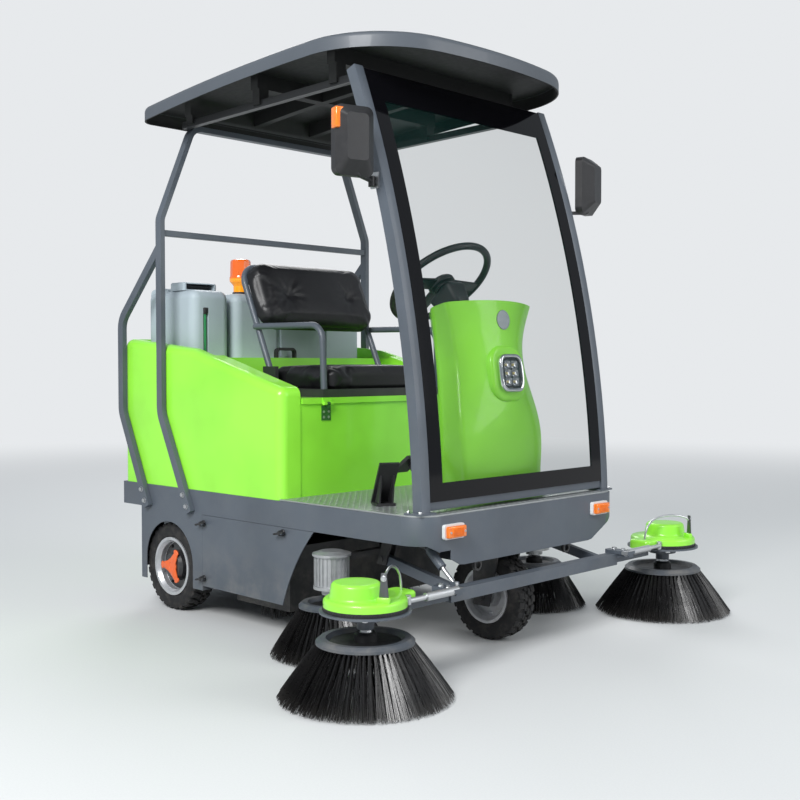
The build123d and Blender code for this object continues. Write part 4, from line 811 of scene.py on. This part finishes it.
LEAN = math.radians(24.6)
BACK_AT = spot(223.1, 0, 1253.7)
back_n = Vector((math.cos(LEAN), 0, math.sin(LEAN)))
back_up = Vector((-math.sin(LEAN), 0, math.cos(LEAN)))
BUTTONS = (-0.165, 0.165)
piece, points = stuffed("seat_back_cushion", "seat_back", (0.92, 1.0, 0.985), 0.007,
                        lambda p: (p - BACK_AT).dot(back_n) < 0.012)
away = points - np.array(BACK_AT)
depth, across, along = away @ np.array(back_n), away[:, 1], away @ np.array(back_up)
front_share = np.clip((depth - 0.02) / 0.03, 0, 1)
dent = np.zeros(len(points))
for k, y in enumerate(BUTTONS):
    dy, dz = across - y, along + 0.020
    r = np.hypot(dy, dz)
    turn = np.arctan2(dz, dy)
    crease = np.cos(5 * turn + 0.7 + k) * 0.5 + np.cos(11 * turn + 2.1 - k) * 0.5
    inward = 0.45 + 0.55 * hump(turn - (0.35 if y < 0 else math.pi - 0.35), 0.9)
    dent += 0.012 * hump(r, 0.020) + 0.007 * hump(r, 0.07) + 0.0030 * crease * inward * hump(r - 0.045, 0.036)
crown = 0.010 * bulge(across / 0.30, 2.4) * bulge(along / 0.145, 2.4)
points = points + np.outer((crown - dent) * front_share, np.array(back_n))
finished(piece, points)
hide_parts("seat_back")
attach(piece, "seat")
TUFT = [(5, 0), (10, 0.5), (11, 2.5), (9.5, 4.6), (5, 5.8), (0.5, 6.2)]
tufts = [placed(turned("tuft", TUFT, 20), facing(
    back_n, BACK_AT - back_up * 0.020 + Vector((0, y, 0)) + back_n * 0.0535)) for y in BUTTONS]
tufts = settle(joined("seat_buttons", *tufts))
vinyl.coat(tufts)
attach(tufts, "seat")

piece, points = stuffed("seat_base_cushion", "seat_cushion", (0.985, 0.98, 0.86), 0.018,
                        lambda p: p.z < 0.895)
x_mm, y_mm, z_mm = ((points[:, k] + (AXLE_X if k == 0 else 0)) * 1000 for k in range(3))
upper = np.clip((z_mm - 905) / 20, 0, 1)
crown = 7.0 * bulge(y_mm / 300, 2.6) * bulge((x_mm - 500) / 195, 2.6)
seam = 4.5 * hump(np.abs(y_mm) - 235, 5.0) + 3.5 * hump(x_mm - 345, 5.0) * (np.abs(y_mm) < 235)
pucker = np.zeros(len(points))
for y in (-262, 262):
    r = np.hypot(x_mm - 640, y_mm - y)
    turn = np.arctan2(x_mm - 640, y_mm - y)
    pucker += 3.2 * np.cos(6 * turn) * hump(r - 26, 20)
points[:, 2] += (crown - seam - pucker) * upper / 1000
points[:, 0] += 0.004 * np.sin(y_mm / 19.0) * hump(np.abs(y_mm) - 272, 26.0) * (x_mm > 600)
finished(piece, points)
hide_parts("seat_cushion")
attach(piece, "seat")


# Steering wheel: moulded black rim and three flat spokes on a domed hub, above the column's
# sleeve; its shaft turns the fork below.
TILT = math.radians(39.6)
wheel_axis = Vector((-math.sin(TILT), 0, math.cos(TILT)))
around = [2 * math.pi * k / 18 for k in range(18)] + [0.0]
grip = turned("grip", [(198 + 13.6 * math.cos(a), 13.6 * math.sin(a)) for a in around], 112)
spokes = []
for turn in (0, 180, 270):
    spoke = rounded("spoke", (168, 58, 8), 2.6)
    for vertex in spoke.data.vertices:
        vertex.co.y *= 1.0 if vertex.co.x < 0 else 0.72
    spokes.append(placed(spoke, spun(turn, "Z") @ moved(110, 0, -6)))
hub = turned("hub", [
    (12, -31.5), (36, -31.5), (38, -29), (38, -21), (50, -19), (52, -16), (52, -2), (47, 5), (34, 9.5),
    (32, 8.6), (29, 8.8), (26, 10.6), (0.5, 12)], 48)
shaft = turned("shaft", [(1, -179.5), (9.9, -179.5), (9.9, -30), (1, -30)], 32)
WHEEL_AT = facing(wheel_axis, spot(970, 0, 1283))
wheel = settle(joined("driver_wheel", grip, hub, shaft, *spokes), WHEEL_AT)
black_plastic.coat(wheel)
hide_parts("steering_wheel")
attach(wheel, "steering_wheel")
cowl = rounded("column_cowl", (104, 128, 92), 20, 4)
for vertex in cowl.data.vertices:
    widening = 0.86 + vertex.co.z * 3
    vertex.co.x, vertex.co.y = vertex.co.x * widening, vertex.co.y * widening
cowl = settle(cowl, WHEEL_AT @ moved(0, 0, -85))
black_plastic.coat(cowl)
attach(cowl, "machine")


# Dash: a blank display, rocker switches and the key switch set in the pedestal's top panel.
dash_n = Vector((-0.22, 0, 1)).normalized()
dash_top = facing(dash_n, spot(1165, 0, 1186))


def on_dash(x, y, z=-9.0):
    return dash_top @ moved(x, y, z)


surround = placed(rounded("surround", (104, 70, 10), 4), on_dash(0, 48))
switches = [placed(rounded("switch", (19, 30, 9), 2.2), on_dash(x, 30) @ spun(6, "X"))
            for x in (-98, -74, 74, 98)]
key = placed(rounded("key", (3, 20, 20), 1.2), on_dash(62, -22, 4))
controls = settle(joined("dash_controls", surround, key, *switches))
black_plastic.coat(controls)
display = settle(rounded("display", (84, 52, 2), 0.8, 2), on_dash(0, 48, -3.4))
screen_glass = mottled("dark_display", (12.0, 2.0), (0.006, 0.008, 0.010), (0.012, 0.015, 0.018),
                       Coat_Weight=1.0, Roughness=0.06)
screen_glass.coat(display)
barrel = turned("key_barrel", [(4, -10), (12.5, -10), (12.5, -3), (10, -1.5), (4, -1.5)], 28)
barrel = settle(barrel, on_dash(62, -22, 0))
zinc.coat(barrel)
for piece in (controls, display, barrel):
    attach(piece, "machine")


# Head lamp: chromed bezel round a black frame, two columns of three reflector cups with their
# light chips, and a clear lens over them. Above it sits a blank round badge.
lamp_n = Vector((math.cos(math.radians(8)), 0, math.sin(math.radians(8))))
lamp_face = facing(lamp_n, spot(1296.3, 0, 950))


def squared(piece, wide, high, power=4.2):
    """Press a round piece towards a rounded square, with its two half sizes as shares of the radius."""
    for vertex in piece.data.vertices:
        x, y = vertex.co.x, vertex.co.y
        r = math.hypot(x, y)
        if r > 1e-6:
            grow = (abs(x / r / wide) ** power + abs(y / r / high) ** power) ** (-1 / power)
            vertex.co.x, vertex.co.y = x * grow, y * grow
    return piece


chrome = mottled("satin_chrome", (20.0, 4.0), (0.66, 0.68, 0.70), (0.84, 0.85, 0.87), (0.14, 0.08),
                 Metallic=1.0)
bezel = squared(turned("lamp_bezel", [
    (50, 0.2), (63.2, 0.2), (63.4, 3), (63.4, 11), (62, 15), (59, 17.4), (55.5, 17.6), (52, 15.5), (50, 10),
    (50, 0.2)], 96), 1.0, 1.075)
inner = turned("inner", [(50.2, 1), (50.2, 11), (47.5, 12.4), (43.6, 11.2), (42.6, 3.6), (0.5, 3.6)], 72)
CUP = [(0.5, 3.7), (17.2, 3.7), (17.2, 10.5), (16.4, 10.5), (12, 6.4), (5, 4.6), (0.5, 4.6)]
CHIP = [(4.6, 4.4), (4.4, 6.2), (2.6, 7.4), (0.4, 7.7)]
cups, chips = [], []
for x in (-19.5, 19.5):
    for y in (-30, 0, 30):
        cups.append(placed(squared(turned("cup", CUP, 24), 1.05, 0.86), moved(x, y, 0)))
        chips.append(placed(turned("chip", CHIP, 16), moved(x, y, 0)))
bezel = settle(joined("lamp_bezel", bezel, *cups), lamp_face)
chrome.coat(bezel)
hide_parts("headlight")
inner = settle(squared(inner, 1.0, 1.075), lamp_face)
black_plastic.coat(inner)
chips = settle(joined("lamp_chips", *chips), lamp_face)
phosphor = mottled("light_chip", (400.0, 2.0), (0.80, 0.62, 0.16), (0.92, 0.80, 0.35),
                   Coat_Weight=1.0, Roughness=0.2)
phosphor.coat(chips)
cover = turned("lamp_lens", [(50.5, 11.6), (48, 12.8), (36, 13.8), (18, 14.4), (0.5, 14.6)], 72)
cover = settle(squared(cover, 1.0, 1.075), lamp_face)
clear_lens = mottled("clear_lamp_lens", (60.0, 2.0), (0.10, 0.12, 0.13), (0.16, 0.18, 0.19),
                     Roughness=0.02, Coat_Weight=1.0)
glint = clear_lens.node("ShaderNodeLayerWeight", None, {"Blend": 0.35}, out="Fresnel")
clear_lens.put("Alpha", glint * 0.3 + 0.02)
clear_lens.coat(cover)
badge = turned("blank_badge", [
    (20, -4), (35, -4), (35, 2.2), (33.8, 3.2), (31.5, 3.2), (30.6, 2.3), (0.5, 2.3)], 56)
badge = settle(badge, facing(Vector((1.0, 0, 0.085)).normalized(), spot(1266.5, 0, 1139)))
badge_metal = mottled("brushed_badge", (90.0, 3.0), (0.30, 0.33, 0.35), (0.44, 0.47, 0.49), (0.2, 0.3),
                      stretch=(1, 0.08, 1), Metallic=0.7)
badge_metal.coat(badge)
for piece in (bezel, inner, chips, cover, badge):
    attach(piece, "machine")


# Marker lamps: ribbed lenses screwed to white housings, amber in front and red behind.
housing = mottled("white_housing", (30.0, 3.0), (0.66, 0.67, 0.68), (0.78, 0.79, 0.80))
housing.rough(housing.noise(200.0) * 0.1 + 0.4)
housing.coat(nodes["marker_lamps"])
signal = Finish("marker_lens", Coat_Weight=0.8, Specular_IOR_Level=0.6, Emission_Strength=0.05)
rear_share = 1 - signal.band(signal.axis("X"), -0.1, 0.1)
mottle = signal.noise(70.0, 2.0)
lit = signal.blend(mottle, signal.blend(rear_share, (0.72, 0.12, 0.004), (0.42, 0.006, 0.006)),
                   signal.blend(rear_share, (0.90, 0.24, 0.008), (0.60, 0.012, 0.010)))
signal.colour(lit)
signal.put("Emission Color", lit)
signal.rough(mottle * 0.1 + 0.12)
ribs = [placed(rounded("rib", (2.8, 29, 4.4), 1.2, 2), moved((k - 5) * 4.9, 0, 9)) for k in range(11)]
lens = joined("lens", rounded("lens_body", (85, 38, 17), 4.5), *ribs)
places = [facing((1, 0, 0), spot(1409.0, y, 446)) for y in (-410, 410)]
places += [facing((-1, 0, 0), spot(-337.0, y, 449)) for y in (-445, 445)]
lenses = settle(gather("marker_lenses", lens, places))
signal.coat(lenses)
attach(lenses, "machine")
bpy.data.objects.remove(lens)
places = [p @ moved(dx, 0, 8) @ scaled(0.36, 0.36, 0.36) for p in places for dx in (-34.5, 34.5)]
lens_screws = settle(gather("lens_screws", screw, places))
zinc.coat(lens_screws)
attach(lens_screws, "machine")


# Mirrors: black moulded housings on bright brackets, with the silvered glass facing the driver
# and an amber repeater let into the outer upper edge.
mirror_black = mottled("mirror_housing", (40.0, 3.0), (0.013, 0.013, 0.014), (0.026, 0.026, 0.028),
                       (0.2, 0.3), (900.0, 2.0, 0.0002, 0.4), Specular_IOR_Level=0.45)
on_bracket = 1 - mirror_black.band(abs(mirror_black.axis("Y")), 0.5262, 0.5266)
mirror_black.over(on_bracket, (0.55, 0.56, 0.57))
mirror_black.put("Metallic", on_bracket * 0.9)
silvered = mottled("silvered_glass", (3.0, 2.0), (0.80, 0.82, 0.83), (0.88, 0.90, 0.91),
                   Metallic=1.0, Roughness=0.02)
for side, name in SIDES:
    mirror_black.coat(nodes[f"mirror_{name}"])
    hold = at(1180, side * 640, 1690) @ spun(15 * side, "Z")
    pane = settle(rounded(f"mirror_glass_{name}", (2.4, 124, 208), 1.1, 2), hold @ moved(-23.6, 0, 0))
    silvered.coat(pane)
    repeater = settle(rounded(f"mirror_repeater_{name}", (37, 34, 66), 5), hold @ moved(-0.5, side * 57, 66))
    signal.coat(repeater)
    for piece in (pane, repeater):
        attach(piece, "machine")


# Front brush covers: lime moulding whose dome sits away from the bar. Beside it stand a steel hinge
# plate with its bolt and a bent wire bail; a black ribbed ring seals the gap above the carrier.
steel = mottled("plain_steel", (70.0, 4.0), (0.09, 0.095, 0.10), (0.17, 0.175, 0.18), (0.2, 0.32),
                stretch=(1, 1, 0.15), Metallic=0.85)
BAIL = (
    (1520, 849, 368), (1514, 839, 378), (1499, 815, 386), (1481, 788, 389), (1463, 760, 387),
    (1448, 733, 380), (1438, 712, 369), (1431, 694, 349), (1427, 685, 324), (1425, 681, 298))
BLADE_OUT = (0.487, 0.874)    # x and y of the direction that the blade's outer face looks to
DOME_SHRINK, DOME_SHIFT = 0.93, (-0.008, 0.030)
BOLT_SQUARE = 84 * math.cos(math.radians(45))    # the carrier's four bolts stand on a circle of 84 mm


def bent_wire(name, points, radius):
    """A round wire through a run of points in metres; radius in millimetres."""
    line = bpy.data.curves.new(name, "CURVE")
    line.dimensions = "3D"
    line.bevel_depth = radius / 1000
    line.bevel_resolution = 3
    line.use_fill_caps = True
    run = line.splines.new("POLY")
    run.points.add(len(points) - 1)
    for knot, place in zip(run.points, points):
        knot.co = (*place, 1)
    only(linked(name, line))
    bpy.ops.object.convert(target="MESH")
    return bpy.context.object


for side, name in SIDES:
    cover = linked(f"cover_moulding_{name}", nodes[f"brush_cover_{name}"].data.copy())
    form = bmesh.new()
    form.from_mesh(cover.data)
    bmesh.ops.remove_doubles(form, verts=form.verts, dist=0.00003)
    centre = spot(1418, side * 825, 0)
    fittings = [v for v in form.verts if abs(v.co.x - centre.x + 0.002) < 0.0047 and (
        v.co.z > 0.3484 or v.co.z > 0.3003 and side * (centre.y - v.co.y) > 0.095)]
    bmesh.ops.delete(form, geom=fittings, context="VERTS")
    bmesh.ops.holes_fill(form, edges=[e for e in form.edges if e.is_boundary], sides=0)
    for v in form.verts:
        if v.co.z > 0.2955 and math.hypot(v.co.x - centre.x, v.co.y - centre.y) < 0.0905:
            v.co.x = centre.x + (v.co.x - centre.x) * DOME_SHRINK + DOME_SHIFT[0]
            v.co.y = centre.y + (v.co.y - centre.y) * DOME_SHRINK + side * DOME_SHIFT[1]
    form.to_mesh(cover.data)
    form.free()
    only(cover)
    bpy.ops.object.shade_smooth_by_angle(angle=math.radians(30))
    lime.coat(cover)
    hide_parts(f"brush_cover_{name}")

    across = Matrix.Rotation(math.atan2(side * BLADE_OUT[1], BLADE_OUT[0]) - math.pi / 2, 4, "Z")
    blade = rounded(f"cover_plate_{name}", (29, 4.5, 72), 2, 2)
    for vertex in blade.data.vertices:
        if vertex.co.z > 0.03:
            vertex.co.x *= 0.6
    blade = settle(blade, at(1521, side * 851, 350) @ across)
    steel.coat(blade)
    bail = settle(bent_wire(f"cover_bail_{name}", [spot(x, side * y, z) for x, y, z in BAIL], 3.9))
    pad = settle(rounded(f"cover_pad_{name}", (40, 17, 20), 5), at(1518, side * 849, 306) @ across)
    lime.coat(pad)
    ring = turned("ring", [
        (110, 262.4), (126.2, 262.4), (126.2, 273), (125.2, 274), (110, 274), (110, 262.4)], 96)
    tooth = rounded("tooth", (2.6, 3.0, 8), 0.8, 1)
    teeth = gather("teeth", tooth, [spun(360 * k / 84, "Z") @ moved(126.2, 0, 267.8) for k in range(84)])
    bpy.data.objects.remove(tooth)
    seal = settle(joined(f"cover_seal_{name}", ring, teeth), at(1418, side * 825, 0))
    black_plastic.coat(seal)
    smaller = scaled(0.8, 0.8, 0.8)
    places = [
        facing((BLADE_OUT[0], side * BLADE_OUT[1], 0), spot(1522, side * 853, 370)) @ smaller,
        at(1476, side * 704, 286.6), at(1412, side * 490, 282.8), at(1448, side * 496, 282.8) @ smaller]
    places += [facing((0, 0, -1), spot(1418 + dx, side * 825 + dy, 250.5))
               for dx in (-BOLT_SQUARE, BOLT_SQUARE) for dy in (-BOLT_SQUARE, BOLT_SQUARE)]
    bolts = settle(gather(f"brush_bolts_{name}", screw, places))
    nut = turned("nut", [
        (10.2, 198.2), (17.5, 198.2), (17.5, 204), (15.5, 205.4), (10.2, 205.4), (10.2, 198.2)], 6)
    flange = turned("flange", [(10.2, 196), (24, 196), (24, 198.4), (10.2, 198.4)], 40)
    nut = settle(joined(f"spindle_nut_{name}", nut, flange), at(1418, side * 825, 0))
    zinc.coat(bail, bolts, nut)
    for piece in (cover, blade, bail, pad, seal, bolts):
        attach(piece, "front_brush_frame")
    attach(nut, f"front_brush_{name}")


# Mud flaps: black rubber sheets that hang from the deck behind the rear wheels.
for side, name in SIDES:
    flap = settle(rounded(f"mud_flap_{name}", (3.5, 104, 272), 1.6, 2), at(-192, side * 492, 290))
    rubber.coat(flap)
    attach(flap, "machine")


# Small fastenings of the machine: screws in the post feet and lid hinges, and a rubber sleeve on
# the hopper's pull handle.
# Painted shade: the lid hinges are the lime darkened to deep green for the shade they sit in.
hinge_shaded_lime = paint("lime_hinges_in_painted_shade", (0.020, 0.115, 0.020), 0.4, 300.0, 0.2, top=0.6)
hinge_shaded_lime.coat(nodes["lid_hinges"])
places = [at(x, y, 507.9) @ scaled(0.62, 0.62, 0.8) for y in (-528.5, 528.5) for x in (1308, 1360)]
places += [facing((1, 0, 0), spot(699.8, y + dy, z)) @ scaled(0.45, 0.45, 0.4)
           for y in (-330, 330) for dy in (-12, 12) for z in (808, 788)]
small_screws = settle(gather("small_screws", screw, places))
zinc.coat(small_screws)
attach(small_screws, "machine")
bpy.data.objects.remove(screw)
sleeve = turned("handle_sleeve", [
    (7.4, -62), (10.4, -62), (11.6, -60), (11.6, 60), (10.4, 62), (7.4, 62), (7.4, -62)], 32)
sleeve = settle(sleeve, at(-334, 0, 300) @ spun(90, "X"))
black_plastic.coat(sleeve)
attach(sleeve, "hopper")


# Studio: pale floor that fades into the backdrop, soft lamps and the photograph's viewpoint.
BACKDROP = (0.80, 0.82, 0.84)
bpy.ops.object.select_all(action="DESELECT")
bpy.ops.mesh.primitive_circle_add(vertices=96, radius=40, fill_type="NGON", location=(0, 0, 0))
floor = bpy.context.object
floor.name = "studio_floor"
ground = mottled("studio_floor", (180.0, 4.0), (0.60, 0.61, 0.61), (0.66, 0.67, 0.67),
                 Roughness=0.7, Specular_IOR_Level=0.2)
away = ground.node("ShaderNodeVectorMath", {"operation": "LENGTH"}, {0: ground.place}, out="Value")
haze = ground.node("ShaderNodeEmission", None, {"Color": BACKDROP, "Strength": 1.0})
near = Signal(ground, ground.shader.outputs["BSDF"])
fade = ground.node("ShaderNodeMixShader", None, {0: ground.band(away, 3.0, 11.0), 1: near, 2: haze})
ground.feed(ground.tree.nodes["Material Output"].inputs["Surface"], fade)
ground.coat(floor)

world = bpy.data.worlds.new("studio")
bpy.context.scene.world = world
world.use_nodes = True
sky = NodeTree(world.node_tree)
light = sky.node("ShaderNodeBackground", None, {"Color": (0.86, 0.93, 1.0), "Strength": 0.48})
seen = sky.node("ShaderNodeBackground", None, {"Color": BACKDROP, "Strength": 1.0})
direct = sky.node("ShaderNodeLightPath", out="Is Camera Ray")
through = sky.node("ShaderNodeLightPath", out="Is Transmission Ray")
shown = sky.node("ShaderNodeMixShader", None, {0: direct.either(through), 1: light, 2: seen})
sky.feed(sky.tree.nodes["World Output"].inputs["Surface"], shown)

LAMPS = (
    ("key", (2.2, -5.4, 4.6), 2.6, 470.0),
    ("fill", (5.5, 2.6, 3.2), 3.5, 130.0),
    ("rim", (-4.5, 3.5, 4.8), 3.0, 160.0))
AIM = Vector((0, 0, 0.9))
for name, place, width, power in LAMPS:
    lamp = bpy.data.lights.new(name, "AREA")
    lamp.size = width
    lamp.energy = power
    holder = linked(name, lamp)
    holder.location = place
    holder.rotation_euler = (AIM - Vector(place)).to_track_quat("-Z", "Y").to_euler()

EYE = (3.095, -3.093, 0.9795)
YAW, PITCH, ROLL = 44.20, 1.79, -0.05
FOCAL, PICTURE = 1117.6, 800    # focal length and picture width, both in pixels
camera = linked("camera", bpy.data.cameras.new("camera"))
camera.matrix_world = Matrix.Translation(EYE) @ spun(YAW, "Z") @ spun(90 - PITCH, "X") @ spun(ROLL, "Z")
camera.data.sensor_width = 36.0
camera.data.lens = FOCAL / PICTURE * camera.data.sensor_width
bpy.context.scene.camera = camera
bpy.context.scene.view_settings.view_transform = "Standard"
